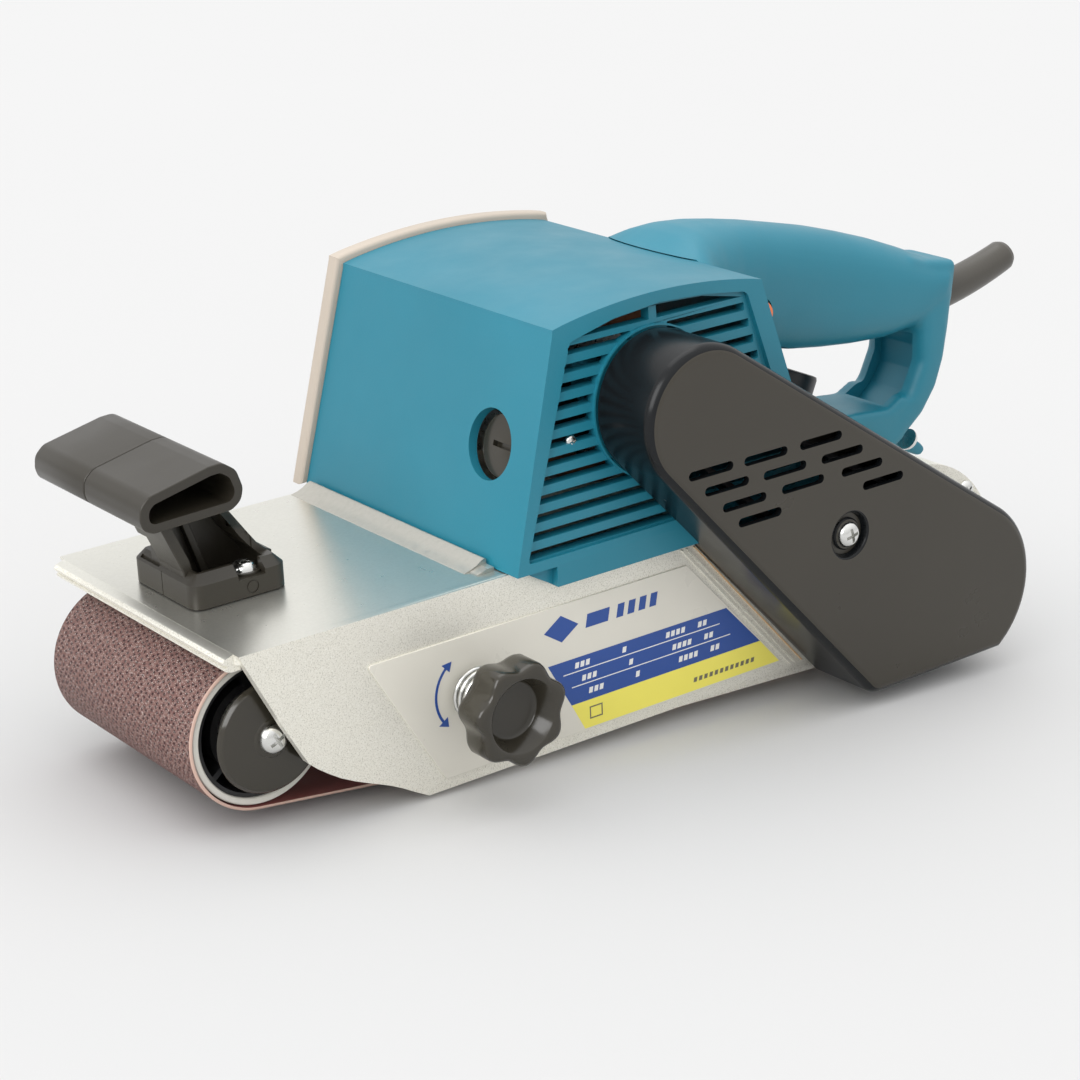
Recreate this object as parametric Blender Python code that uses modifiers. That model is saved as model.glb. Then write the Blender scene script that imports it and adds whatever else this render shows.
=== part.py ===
"""Handheld belt sander for a 76 x 610 mm belt, as an assembly of separate pieces.

Lengths in the tables below are millimetres; MM turns them into Blender's metres.
The pieces are laid out in the casting's own frame: its origin is the middle of the
front roller's axle, X runs back along the top plate, Y from the drive-belt cover's side
to the open side, and Z is square to the top plate.  The casting leans nose-down on its
sole by PITCH, so an empty turns that frame and sets the sole on Z = 0.
"""
from math import atan2, acos, cos, hypot, pi, radians, sin, sqrt, tan

import bmesh
import bpy
from mathutils import Matrix, Vector

MM = 0.001
GAP = 0.3                       # clearance between pieces that touch

# ---- driving dimensions -------------------------------------------------------------
PITCH = radians(3.15)           # top plate's slope against the sole
SOLE_DROP = 27.6                # front axle above the floor, square to the top plate
FRAME_X, FRAME_Y = -146.28, 7.95  # puts the whole machine's middle over the origin

BELT_WIDTH = 76
BELT_THICK = 0.9
FRONT_AXIS = (0, 0)             # x, z of the roller and motor axes
DRIVE_AXIS = (227.5, -10.8)
MOTOR_AXIS = (127, 63)
FRONT_RADIUS = 22               # outside the sanding belt
DRIVE_RADIUS = 28.2
PLATEN_START, PLATEN_END = 74, 195

PLATE_TOP = 28                  # casting's top plate
PLATE_THICK = 3
PLATE_FRONT = -11.5
SIDE = 49.3                     # half width over the casting
WALL = 3
GUARD_RADIUS = 33.5             # rounded rear end round the drive roller

HOUSING_MIDDLE = 129
HOUSING_NEAR, HOUSING_FAR = -54, 53
HOUSING_WALL = 2.6
HOUSING_LOW, HOUSING_HIGH = 28.3, 93.5
HOUSING_HALF_LOW, HOUSING_HALF_HIGH = 55.6, 37
CROWN = 3.8
CAP_PROUD, CAP_THICK = 2, 5.3

COVER_FACE = -73.8
COVER_WALL = 2.2
PULLEY_Y = (-69.6, -59)         # width of both toothed pulleys
MOTOR_PULLEY_R, DRIVE_PULLEY_R = 7.2, 17.28

KNOB_AXIS = (59.3, -1.6)
KNOB_FACE = -74
HANDLE_HALF = 15
GUARD_TUBE = 6.5                # cord guard's radius at the handle


# ---- scene, materials and basic shapes ----------------------------------------------
for old in list(bpy.data.objects):
    bpy.data.objects.remove(old, do_unlink=True)

parts = bpy.data.collections.new("belt_sander")
cutters = bpy.data.collections.new("cutters")
bpy.context.scene.collection.children.link(parts)
bpy.context.scene.collection.children.link(cutters)

frame = bpy.data.objects.new("casting_frame", None)
frame.location = (FRAME_X * MM, FRAME_Y * MM, SOLE_DROP * cos(PITCH) * MM)
frame.rotation_euler = (0, -PITCH, 0)
parts.objects.link(frame)

PALETTE = {                     # colour, metallic, roughness
    "cast_aluminium": ((0.68, 0.67, 0.63), 0.7, 0.45),
    "blue_plastic": ((0.055, 0.25, 0.33), 0.0, 0.5),
    "beige_plastic": ((0.60, 0.55, 0.47), 0.0, 0.5),
    "black_plastic": ((0.035, 0.033, 0.03), 0.0, 0.35),
    "grey_rubber": ((0.10, 0.09, 0.08), 0.0, 0.6),
    "abrasive": ((0.25, 0.14, 0.13), 0.0, 0.95),
    "ivory": ((0.68, 0.66, 0.58), 0.0, 0.45),
    "steel": ((0.55, 0.55, 0.54), 1.0, 0.3),
    "copper": ((0.60, 0.27, 0.12), 1.0, 0.35),
    "carbon": ((0.03, 0.03, 0.03), 0.0, 0.7),
    "cork": ((0.42, 0.27, 0.15), 0.0, 0.9),
    "plate_silver": ((0.62, 0.61, 0.57), 0.3, 0.4),
    "orange_plastic": ((0.80, 0.16, 0.03), 0.0, 0.4),
    "black_rubber": ((0.025, 0.025, 0.025), 0.0, 0.8),
    "grey_plastic": ((0.14, 0.13, 0.12), 0.0, 0.6),
}


def material(name):
    """The Principled material of that name, made on first use."""
    if name in bpy.data.materials:
        return bpy.data.materials[name]
    colour, metallic, roughness = PALETTE[name]
    made = bpy.data.materials.new(name)
    made.use_nodes = True
    shader = made.node_tree.nodes["Principled BSDF"]
    shader.inputs["Base Color"].default_value = (*colour, 1)
    shader.inputs["Metallic"].default_value = metallic
    shader.inputs["Roughness"].default_value = roughness
    return made


def add(name, mesh, location=(0, 0, 0), rotation=(0, 0, 0), finish=None):
    """Link a mesh into the assembly, or among the cutters when it has no finish."""
    made = bpy.data.objects.new(name, mesh)
    made.parent = frame
    made.location = Vector(location) * MM
    made.rotation_euler = rotation
    if finish:
        mesh.materials.append(material(finish))
        parts.objects.link(made)
    else:
        cutters.objects.link(made)
        made.hide_render = True
        made.display_type = "WIRE"
    return made


def smooth(made, angle=40):
    """Shade a round piece smooth, keeping its real edges."""
    made.data.shade_smooth()
    made.data.set_sharp_from_angle(angle=radians(angle))
    return made


def boolean(made, other, operation):
    step = made.modifiers.new(operation.lower(), "BOOLEAN")
    step.operation = operation
    step.object = other
    step.solver = "EXACT"
    return made


def cut(made, *others):
    for other in others:
        boolean(made, other, "DIFFERENCE")
    return made


def join(made, *others):
    for other in others:
        boolean(made, other, "UNION")
    return made


def box(name, low, high, finish=None, rotation=(0, 0, 0)):
    """A block between two corners, turned about its middle."""
    low, high = Vector(low), Vector(high)
    shape = bmesh.new()
    bmesh.ops.create_cube(shape, size=MM, matrix=Matrix.Diagonal((*(high - low), 1)))
    mesh = bpy.data.meshes.new(name)
    shape.to_mesh(mesh)
    shape.free()
    return add(name, mesh, (low + high) / 2, rotation, finish)


def boxes(name, corners, finish=None):
    """Several separate blocks in one mesh, as (low, high) corner pairs."""
    shape = bmesh.new()
    for low, high in corners:
        low, high = Vector(low), Vector(high)
        middle = Matrix.Translation((low + high) / 2 * MM)
        bmesh.ops.create_cube(shape, size=MM, matrix=middle @ Matrix.Diagonal((*(high - low), 1)))
    mesh = bpy.data.meshes.new(name)
    shape.to_mesh(mesh)
    shape.free()
    return add(name, mesh, finish=finish)


ALONG_Y = (-pi / 2, 0, 0)       # turns local Z to the frame's +Y
ALONG_X = (0, pi / 2, 0)        # turns local Z to the frame's +X
UPRIGHT = (0, 0, 0)


def rod(name, radius, start, end, centre, finish=None, along=ALONG_Y, sides=32):
    """A cylinder along one frame axis, from start to end on that axis."""
    shape = bmesh.new()
    middle = (start + end) / 2
    bmesh.ops.create_cone(shape, cap_ends=True, segments=sides, radius1=radius * MM,
                          radius2=radius * MM, depth=(end - start) * MM)
    mesh = bpy.data.meshes.new(name)
    shape.to_mesh(mesh)
    shape.free()
    spots = {ALONG_Y: (centre[0], middle, centre[1]), ALONG_X: (middle, *centre),
             UPRIGHT: (*centre, middle)}
    return smooth(add(name, mesh, spots[along], along, finish))


def turned(name, profile, axis, finish=None, closed=True, sides=36, along=ALONG_Y):
    """Turn a (radius, height) profile, outer side first and downwards, about an axis."""
    shape = bmesh.new()
    dots = [shape.verts.new((radius * MM, 0, height * MM)) for radius, height in profile]
    for first, second in zip(dots, dots[1:]):
        shape.edges.new((first, second))
    if closed:
        shape.edges.new((dots[-1], dots[0]))
    mesh = bpy.data.meshes.new(name)
    shape.to_mesh(mesh)
    shape.free()
    spots = {ALONG_Y: (axis[0], 0, axis[1]), ALONG_X: (0, *axis), UPRIGHT: (*axis, 0)}
    made = add(name, mesh, spots[along], along, finish)
    screw = made.modifiers.new("turn", "SCREW")
    screw.steps = screw.render_steps = sides
    screw.use_merge_vertices = True
    screw.merge_threshold = 0.00001
    screw.use_smooth_shade = True
    return made


def ring(name, inner, outer, start, end, axis, finish=None, sides=36, along=ALONG_Y):
    profile = [(outer, end), (outer, start), (inner, start), (inner, end)]
    return turned(name, profile, axis, finish, sides=sides, along=along)


def outline_mesh(name, loops, half, edge=0.0, filled=True, segments=1):
    """Mesh of a flat outline in local XY, thickened by half each way, edges rounded."""
    curve = bpy.data.curves.new(name, "CURVE")
    curve.dimensions = "2D"
    curve.fill_mode = "BOTH" if filled else "NONE"
    curve.extrude = (half - edge) * MM
    curve.bevel_depth = edge * MM
    curve.offset = -edge * MM
    curve.bevel_resolution = segments
    curve.render_resolution_u = 0
    for loop in loops:
        spline = curve.splines.new("POLY")
        spline.points.add(len(loop) - 1)
        for point, (x, y) in zip(spline.points, loop):
            point.co = (x * MM, y * MM, 0, 1)
        spline.use_cyclic_u = True
    holder = bpy.data.objects.new(name + "_curve", curve)
    bpy.context.scene.collection.objects.link(holder)
    bpy.context.view_layer.update()
    ready = holder.evaluated_get(bpy.context.evaluated_depsgraph_get())
    mesh = bpy.data.meshes.new_from_object(ready)
    mesh.name = name
    bpy.data.objects.remove(holder, do_unlink=True)
    bpy.data.curves.remove(curve)
    shape = bmesh.new()
    shape.from_mesh(mesh)
    bmesh.ops.remove_doubles(shape, verts=shape.verts, dist=0.000002)
    if filled:
        bmesh.ops.recalc_face_normals(shape, faces=shape.faces)
    shape.to_mesh(mesh)
    shape.free()
    return mesh


IN_XZ = (pi / 2, 0, 0)          # lays a flat outline in the frame's XZ plane


def slab(name, outline, start, end, finish=None, edge=0.0, holes=(), segments=1):
    """An XZ outline extruded along Y from start to end, with optional holes."""
    mesh = outline_mesh(name, [outline, *holes], (end - start) / 2, edge, segments=segments)
    return smooth(add(name, mesh, (0, (start + end) / 2, 0), IN_XZ, finish), 30)


def flat(name, outline, start, end, finish=None, edge=0.0, holes=()):
    """An XY outline extruded along Z from start to end."""
    mesh = outline_mesh(name, [outline, *holes], (end - start) / 2, edge)
    return add(name, mesh, (0, 0, (start + end) / 2), finish=finish)


def arc(centre, radius, first, last, steps):
    """Points on an arc between two angles in degrees, ends included."""
    turn = [radians(first + (last - first) * step / steps) for step in range(steps + 1)]
    return [(centre[0] + radius * cos(angle), centre[1] + radius * sin(angle)) for angle in turn]


def wire(name, points, radius, finish=None, resolution=2, taper=None):
    """A round bar through the points, capped and welded."""
    curve = bpy.data.curves.new(name, "CURVE")
    curve.dimensions = "3D"
    curve.bevel_depth = radius * MM
    curve.bevel_resolution = resolution
    curve.use_fill_caps = True
    curve.render_resolution_u = 0
    spline = curve.splines.new("POLY")
    spline.points.add(len(points) - 1)
    for index, point in enumerate(points):
        spline.points[index].co = (*(Vector(point) * MM), 1)
        if taper:
            spline.points[index].radius = taper[index]
    holder = bpy.data.objects.new(name + "_curve", curve)
    bpy.context.scene.collection.objects.link(holder)
    bpy.context.view_layer.update()
    ready = holder.evaluated_get(bpy.context.evaluated_depsgraph_get())
    mesh = bpy.data.meshes.new_from_object(ready)
    mesh.name = name
    bpy.data.objects.remove(holder, do_unlink=True)
    bpy.data.curves.remove(curve)
    shape = bmesh.new()
    shape.from_mesh(mesh)
    bmesh.ops.remove_doubles(shape, verts=shape.verts, dist=0.000002)
    bmesh.ops.recalc_face_normals(shape, faces=shape.faces)
    shape.to_mesh(mesh)
    shape.free()
    return smooth(add(name, mesh, finish=finish))


def floor_height(x, lift=0.0):
    """Casting-frame z of the line that lies lift above the floor."""
    return -SOLE_DROP - x * tan(PITCH) + lift / cos(PITCH)


# ---- sanding belt -------------------------------------------------------------------
def tangent_angle(centre, radius, point, side):
    """Angle on a circle of the line from an outside point that touches it."""
    across, up = point[0] - centre[0], point[1] - centre[1]
    return atan2(up, across) + side * acos(radius / hypot(across, up))


def loop_outline(front, front_radius, back, back_radius, low_points, steps=14):
    """Outside of a belt round two pulleys, counter-clockwise, past points under it."""
    across, up = back[0] - front[0], back[1] - front[1]
    lean = atan2(up, across) + acos((front_radius - back_radius) / hypot(across, up))
    if low_points:
        front_low = tangent_angle(front, front_radius, low_points[0], -1)
        back_low = tangent_angle(back, back_radius, low_points[-1], 1)
    else:
        front_low = back_low = atan2(up, across) - acos((front_radius - back_radius) / hypot(across, up))
    start, end = lean * 180 / pi, front_low * 180 / pi
    front_arc = arc(front, front_radius, start, end + (360 if end < start else 0), steps)
    start, end = back_low * 180 / pi, lean * 180 / pi
    back_arc = arc(back, back_radius, start, end + (360 if end < start else 0), steps)
    return front_arc + list(low_points) + back_arc


def ribbon(name, outline, middle, half, thickness, finish):
    """A belt: a closed strip given a thickness inwards."""
    mesh = outline_mesh(name, [outline], half, filled=False)
    made = add(name, mesh, (0, middle, 0), IN_XZ, finish)
    solid = made.modifiers.new("thickness", "SOLIDIFY")
    solid.thickness = thickness * MM
    solid.offset = -1
    solid.use_even_offset = True
    return smooth(made, 30)


def sanding_belt():
    low = [(PLATEN_START, floor_height(PLATEN_START)), (PLATEN_END, floor_height(PLATEN_END))]
    outside = loop_outline(FRONT_AXIS, FRONT_RADIUS, DRIVE_AXIS, DRIVE_RADIUS, low)
    return ribbon("sanding_belt", outside, 0, BELT_WIDTH / 2, BELT_THICK, "abrasive")


# ---- base casting, sole and nameplate -----------------------------------------------
def side_outline():
    """Near wall: sloped nose, belly over the belt, round tail over the drive roller."""
    nose = [(PLATE_FRONT, PLATE_TOP), (0.4, 4.1), (6.8, -7.6)]
    belly = [(13.3, -12.3), (20.5, -17.2), (28.3, -20), (34, -22.7), (43.8, -28.7)]
    heel = [(196, -28.7), (206, -32.5), (240, -32.5)]
    tail = arc(DRIVE_AXIS, GUARD_RADIUS, -38, 88, 12)
    return nose + belly + heel + tail + [(196, PLATE_TOP - 1), (186, PLATE_TOP)]


def base_casting():
    wall = slab("base_casting", side_outline(), -SIDE, -SIDE + WALL, "cast_aluminium")
    plate = box("casting_plate", (PLATE_FRONT, -SIDE, PLATE_TOP - PLATE_THICK), (188, SIDE, PLATE_TOP))
    far_lip = box("casting_far_lip", (PLATE_FRONT, SIDE - 3, PLATE_TOP - 9), (188, SIDE, PLATE_TOP))
    ridge = box("casting_ridge", (66.5, -SIDE + 1, PLATE_TOP - 2), (72.6, SIDE - 1, PLATE_TOP + 1.2))
    inner = GUARD_RADIUS - 2.8
    hood = arc(DRIVE_AXIS, GUARD_RADIUS, 0, 104, 12)
    hood += [(186, PLATE_TOP), (186, PLATE_TOP - PLATE_THICK)] + arc(DRIVE_AXIS, inner, 104, 0, 12)
    tail = slab("casting_tail", hood, -SIDE + 1, SIDE - 6)
    low = 5.6
    beam = [(88, 9), (186, 3), (188, floor_height(188, low)), (76, floor_height(76, low)),
            (76, floor_height(76, low + 4)), (88, floor_height(88, low + 8))]
    core = slab("casting_beam", beam, -SIDE + 1, 36)
    hollow = [(95, 4), (181, -1), (181, floor_height(181, low - 4)), (95, floor_height(95, low - 4))]
    pocket = slab("beam_pocket", hollow, -SIDE + WALL + 3, 32)
    slide_way = rod("slide_way", 5.4, 60, 120, (0, 0), along=ALONG_X, sides=20)
    boss = rod("drive_boss", 17.5, -57, -40, DRIVE_AXIS)
    bore = rod("drive_bore", 14.3, -58, -39, DRIVE_AXIS)
    stud_way = rod("stud_way", 3.4, -60, -40, KNOB_AXIS, sides=16)
    join(wall, plate, far_lip, ridge, tail, core, boss)
    return cut(wall, pocket, slide_way, bore, stud_way)


def sole_parts():
    """Steel sole and the cork pad over it, both lying along the floor."""
    for name, low, high, finish in (("sole_plate", 1.2, 2.3, "steel"), ("cork_pad", 2.6, 5.3, "cork")):
        ends = (PLATEN_START + 1, PLATEN_END - 4)
        outline = [(ends[0], floor_height(ends[0], low)), (ends[1], floor_height(ends[1], low)),
                   (ends[1], floor_height(ends[1], high)), (ends[0], floor_height(ends[0], high))]
        slab(name, outline, -36, 36, finish)


def nameplate():
    corners = [(26.3, 14.7), (49.5, -25.4), (172.3, -25.4), (136.2, 14.6)]
    plate = slab("nameplate", corners, -SIDE - 0.8, -SIDE - 0.3, "plate_silver")
    stud_hole = rod("nameplate_hole", 4.6, -52, -48, KNOB_AXIS, sides=20)
    return cut(plate, stud_hole)


def guard_screw():
    y = -SIDE - GAP
    head = [(0, y), (3, y), (2.7, y - 1.5), (0, y - 2.1)]
    turned("guard_screw", head, (248.7, 10.4), "steel", closed=False, sides=20)


# ---- front roller, fork, tension and tracking ---------------------------------------
def front_roller():
    tube = FRONT_RADIUS - BELT_THICK - GAP
    ring("front_roller_tube", tube - 1.5, tube, -37, 37, FRONT_AXIS, "ivory")
    core = [(19, 26), (19, -26), (13.5, -26), (13.5, -34), (11.3, -34), (11.3, -26.7), (5, -26.7),
            (5, 26.7), (11.3, 26.7), (11.3, 34), (13.5, 34), (13.5, 26)]
    turned("front_roller_core", core, FRONT_AXIS, "black_plastic")
    for name, start in (("front_bearing_near", -33.8), ("front_bearing_far", 27)):
        ring(name, 4.05, 11, start, start + 6.8, FRONT_AXIS, "steel", sides=24)
    rod("front_axle", 4, -41.2, 41.2, FRONT_AXIS, "steel", sides=24)
    for side, name in ((-1, "near"), (1, "far")):
        cap = [(15.2, 43), (15.9, 42.3), (15.9, 41.5), (2.4, 41.5), (2.4, 43)]
        screw = [(0, 44.9), (2.4, 44.6), (3.6, 43.3), (2.1, 43.3), (2.1, 41.5), (0, 41.5)]
        if side < 0:
            cap = [(radius, -height) for radius, height in reversed(cap)]
            screw = [(radius, -height) for radius, height in reversed(screw)]
        turned("roller_cap_" + name, cap, FRONT_AXIS, "black_plastic")
        turned("roller_screw_" + name, screw, FRONT_AXIS, "steel", closed=False, sides=20)


def roller_fork():
    """Fork with both roller arms, a pivot lug and the tail that the tracking stud pushes."""
    outer, inner, back = 41.2, 38.6, 38
    shape = [(-8, -outer), (back, -outer), (back, -37), (70, -37), (70, -32.5), (back, -32.5),
             (back, -8), (52, -8), (52, 8), (back, 8), (back, outer), (-8, outer), (-8, inner),
             (31, inner), (31, -inner), (-8, -inner)]
    fork = flat("roller_fork", shape, -7, 7, "cast_aluminium")
    lug_gaps = [((back + 0.5, -9, 4), (54, 9, 8)), ((back + 0.5, -9, -8), (54, 9, -4))]
    axle_way = rod("axle_way", 4.3, -50, 50, FRONT_AXIS, sides=24)
    pin_way = rod("pin_way", 3.3, -10, 10, (45.5, 0), along=UPRIGHT, sides=20)
    return cut(fork, boxes("lug_gaps", lug_gaps), axle_way, pin_way)


def tension_slide():
    """Clevis on a rod that slides in the casting, pushed forwards by the spring."""
    block = box("tension_slide", (39.5, -7.5, -7.5), (60, 7.5, 7.5), "steel")
    slot = box("clevis_slot", (38, -8.5, -4.4), (52.8, 8.5, 4.4))
    shank = rod("slide_shank", 5, 59, 112, (0, 0), along=ALONG_X, sides=20)
    pin_way = rod("slide_pin_way", 3.3, -10, 10, (45.5, 0), along=UPRIGHT, sides=20)
    join(block, shank)
    cut(block, slot, pin_way)
    rod("pivot_pin", 3, -8.5, 8.5, (45.5, 0), "steel", along=UPRIGHT, sides=20)


def coil_points(start, end, radius, turns, along, centre, per_turn=12):
    """Points of a helix; along is 'x' or 'y', centre its other two coordinates."""
    points = []
    for step in range(int(turns * per_turn) + 1):
        part = step / (turns * per_turn)
        angle = 2 * pi * turns * part
        place = start + (end - start) * part
        if along == "x":
            points.append((place, centre[0] + radius * cos(angle), centre[1] + radius * sin(angle)))
        else:
            points.append((centre[0] + radius * cos(angle), place, centre[1] + radius * sin(angle)))
    return points


def tension_spring():
    wire("tension_spring", coil_points(61.6, 86.4, 6.6, 4.5, "x", (0, 0)), 0.9, "steel", resolution=1)


def tracking_parts():
    x, z = KNOB_AXIS
    rod("tracking_stud", 3, -64, -37.4, KNOB_AXIS, "steel", sides=16)
    lobes, base, wave, phase = 7, 13.95, 1.0, radians(14.5)
    rim = []
    for step in range(lobes * 8):
        angle = 2 * pi * step / (lobes * 8)
        radius = base + wave * cos(lobes * (angle - phase))
        rim.append((x + radius * cos(angle), z + radius * sin(angle)))
    knob = slab("tracking_knob", rim, KNOB_FACE, KNOB_FACE + 11.5, "black_plastic", edge=1.2)
    collar = rod("knob_collar", 6, KNOB_FACE + 10, -58, KNOB_AXIS, sides=20)
    dish = [(10.6, KNOB_FACE - 0.5), (8.4, KNOB_FACE + 6)]
    dish_cut = turned("knob_dish", [(0, dish[1][1]), dish[1][::-1][::-1], dish[0], (0, dish[0][1])],
                      KNOB_AXIS, closed=False, sides=28)
    stud_way = rod("knob_stud_way", 3.3, KNOB_FACE + 8, -50, KNOB_AXIS, sides=16)
    join(knob, collar)
    cut(knob, dish_cut, stud_way)


def release_lever():
    """Belt release lever on the open side, under the top plate, with its cam shaft."""
    x, z = 74, 0
    arm = arc((x, z), 6.5, 90, 330, 9) + [(x + 22, z - 3.5), (x + 24.5, z - 0.5), (x + 22, z + 2.5)]
    lever = slab("release_lever", arm, 42.3, 46.3, "black_plastic", edge=0.8)
    return join(lever, rod("lever_shaft", 4, 12, 43, (x, z), sides=20))


# ---- drive roller -------------------------------------------------------------------
def drive_roller():
    tyre = DRIVE_RADIUS - BELT_THICK - GAP
    ring("drive_tyre", tyre - 2.2, tyre, -37, 37, DRIVE_AXIS, "black_rubber")
    drum = [(tyre - 2.5, 37), (tyre - 2.5, -37), (22.3, -37), (22.3, -8), (11, -8), (11, -36),
            (6.3, -36), (6.3, 36), (11, 36), (11, 8), (22.3, 8), (22.3, 37)]
    turned("drive_drum", drum, DRIVE_AXIS, "cast_aluminium")
    rod("drive_shaft", 6, -71, 36, DRIVE_AXIS, "steel", sides=24)
    nut = [(0, 41), (7, 41), (8, 40), (8, 36.3), (0, 36.3)]
    turned("drum_nut", nut, DRIVE_AXIS, "steel", closed=False, sides=6)
    ring("drive_bearing", 6.3, 14, -52, -42, DRIVE_AXIS, "steel", sides=28)


# ---- toothed drive and its cover ----------------------------------------------------
def toothed(centre, radius, teeth, depth=1.0):
    """Outline of a toothed pulley."""
    points = []
    for tooth in range(teeth):
        for part, reach in ((0.0, radius), (0.35, radius), (0.55, radius - depth), (0.8, radius - depth)):
            angle = 2 * pi * (tooth + part) / teeth
            points.append((centre[0] + reach * cos(angle), centre[1] + reach * sin(angle)))
    return points


def toothed_drive():
    for name, centre, radius, teeth, bore in (("motor_pulley", MOTOR_AXIS, MOTOR_PULLEY_R, 15, 4.3),
                                              ("drive_pulley", DRIVE_AXIS, DRIVE_PULLEY_R, 36, 6.3)):
        hole = arc(centre, bore, 0, 330, 11)
        slab(name, toothed(centre, radius, teeth), *PULLEY_Y, "steel", holes=[hole])
    thick = 1.7
    outside = loop_outline(MOTOR_AXIS, MOTOR_PULLEY_R + GAP + thick, DRIVE_AXIS,
                           DRIVE_PULLEY_R + GAP + thick, [], steps=12)
    middle = sum(PULLEY_Y) / 2
    ribbon("toothed_belt", outside, middle, 4.6, thick, "black_rubber")


def cover_outline(inset=0.0):
    """Round the motor pulley at the top, the drive pulley at the bottom right."""
    top, low, corner = (125.5, 66.5), (225.5, -10.5), (190.5, -27.2)
    points = arc(top, 20.8 - inset, 55, 222, 9)
    points += arc(corner, 6.4 - inset, 224, 270, 3)
    points += arc(low, 27.6 - inset, -56 + inset, 55, 8)
    return points


def belt_cover():
    cover = slab("belt_cover", cover_outline(), COVER_FACE, -SIDE - GAP, "black_plastic", edge=0.0)
    inside = slab("cover_inside", cover_outline(COVER_WALL), COVER_FACE + COVER_WALL, -40)
    room = slab("housing_room", housing_outline(0.6, 22.0), HOUSING_NEAR - GAP, -30)
    boss = rod("cover_boss", 5, COVER_FACE + 1, -SIDE - GAP, (177.5, 19.9), sides=20)
    recess = rod("cover_recess", 6.6, COVER_FACE - 1, COVER_FACE + 1.4, (177.5, 19.9), sides=24)
    screw_way = rod("cover_screw_way", 2.5, COVER_FACE - 1, -45, (177.5, 19.9), sides=16)
    slots = []
    for row in range(4):
        for column in range(3):
            if (row, column) == (3, 1):
                continue
            x = 125.8 + 20.2 * column + row * (5.9 + 1.0 * column)
            z = 51.4 - 5.85 * row
            slots.append(((x - 8, COVER_FACE - 1, z - 1.25), (x + 8, COVER_FACE + 4, z + 1.25)))
    cut(cover, inside, room)
    join(cover, boss)
    cut(cover, recess, screw_way, boxes("cover_slots", slots))
    screw = [(0, COVER_FACE + 12), (2.1, COVER_FACE + 12), (2.1, COVER_FACE + 1.1),
             (4.4, COVER_FACE + 1.1), (3.6, COVER_FACE - 0.2), (0, COVER_FACE - 0.7)]
    turned("cover_screw", screw, (177.5, 19.9), "steel", closed=False, sides=20)
    return cover


# ---- motor --------------------------------------------------------------------------
def motor_parts():
    rod("motor_shaft", 4, -69.8, 50, MOTOR_AXIS, "steel", sides=20)
    ring("armature_core", 4.3, 18.6, -20, 23, MOTOR_AXIS, "steel", sides=28)
    ring("commutator", 4.3, 11, -41, -27, MOTOR_AXIS, "copper", sides=28)
    hub = ring("motor_fan", 4.3, 9, 31, 41, MOTOR_AXIS, "black_plastic", sides=24)
    disc = ring("fan_disc", 8, 26, 38.6, 40.6, MOTOR_AXIS, sides=28)
    join(hub, disc)
    for blade in range(8):
        angle = 2 * pi * blade / 8
        reach = 17.3
        spot = (MOTOR_AXIS[0] + reach * cos(angle), 35.3, MOTOR_AXIS[1] + reach * sin(angle))
        low = Vector(spot) - Vector((9.3, 4, 0.8))
        high = Vector(spot) + Vector((9.3, 4, 0.8))
        join(hub, box("fan_blade", low, high, rotation=(0, -angle, 0)))
    ring("stator_core", 22.1, 28.3, -17, 21, MOTOR_AXIS, "steel", sides=32)
    coil = [(21.8, 21.3), (21.8, -17.3), (27, -17.3), (27, -24), (19.2, -24), (19.2, 28), (27, 28),
            (27, 21.3)]
    turned("field_coil", coil, MOTOR_AXIS, "copper", sides=28)
    for name, start in (("motor_bearing_near", -49.6), ("motor_bearing_far", 44.6)):
        ring(name, 4.3, 11, start, start + 6.8, MOTOR_AXIS, "steel", sides=24)


def brush_parts():
    """Brush, holder and screw cap at the front and at the back of the commutator."""
    y, z = -34, MOTOR_AXIS[1]
    for side, name in ((-1, "front"), (1, "rear")):
        def span(near, far):
            ends = sorted((MOTOR_AXIS[0] + side * near, MOTOR_AXIS[0] + side * far))
            return ends
        start, end = span(11.5, 26)
        box("carbon_brush_" + name, (start, y - 3, z - 4), (end, y + 3, z + 4), "carbon")
        start, end = span(13.5, 36)
        holder = box("brush_holder_" + name, (start, y - 5, z - 6), (end, y + 5, z + 6), "black_plastic")
        start, end = span(12, 38)
        cut(holder, box("brush_way", (start, y - 3.3, z - 4.3), (end, y + 3.3, z + 4.3)))
        start, end = span(36.4, 41)
        cap = rod("brush_cap_" + name, 8.2, start, end, (y, z), "black_plastic", along=ALONG_X, sides=28)
        slot = span(39.8, 42)
        cut(cap, box("cap_slot", (slot[0], y - 6.5, z - 0.9), (slot[1], y + 6.5, z + 0.9)))


# ---- motor housing ------------------------------------------------------------------
def half_width(z):
    """Half the housing's length at a height: it narrows upwards."""
    part = (z - PLATE_TOP) / (HOUSING_HIGH - PLATE_TOP)
    return HOUSING_HALF_LOW + (HOUSING_HALF_HIGH - HOUSING_HALF_LOW) * part


def housing_outline(grow=0.0, low=HOUSING_LOW, steps=8):
    """Trapezium with a crowned top, grown outwards by a distance."""
    middle = HOUSING_MIDDLE
    foot = half_width(low) + grow
    chord = HOUSING_HALF_HIGH + grow
    high = HOUSING_HIGH + grow
    points = [(middle - foot, low), (middle + foot, low)]
    for step in range(steps + 1):
        across = chord * (1 - 2 * step / steps)
        points.append((middle + across, high + CROWN * (1 - (across / chord) ** 2)))
    return points


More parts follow.
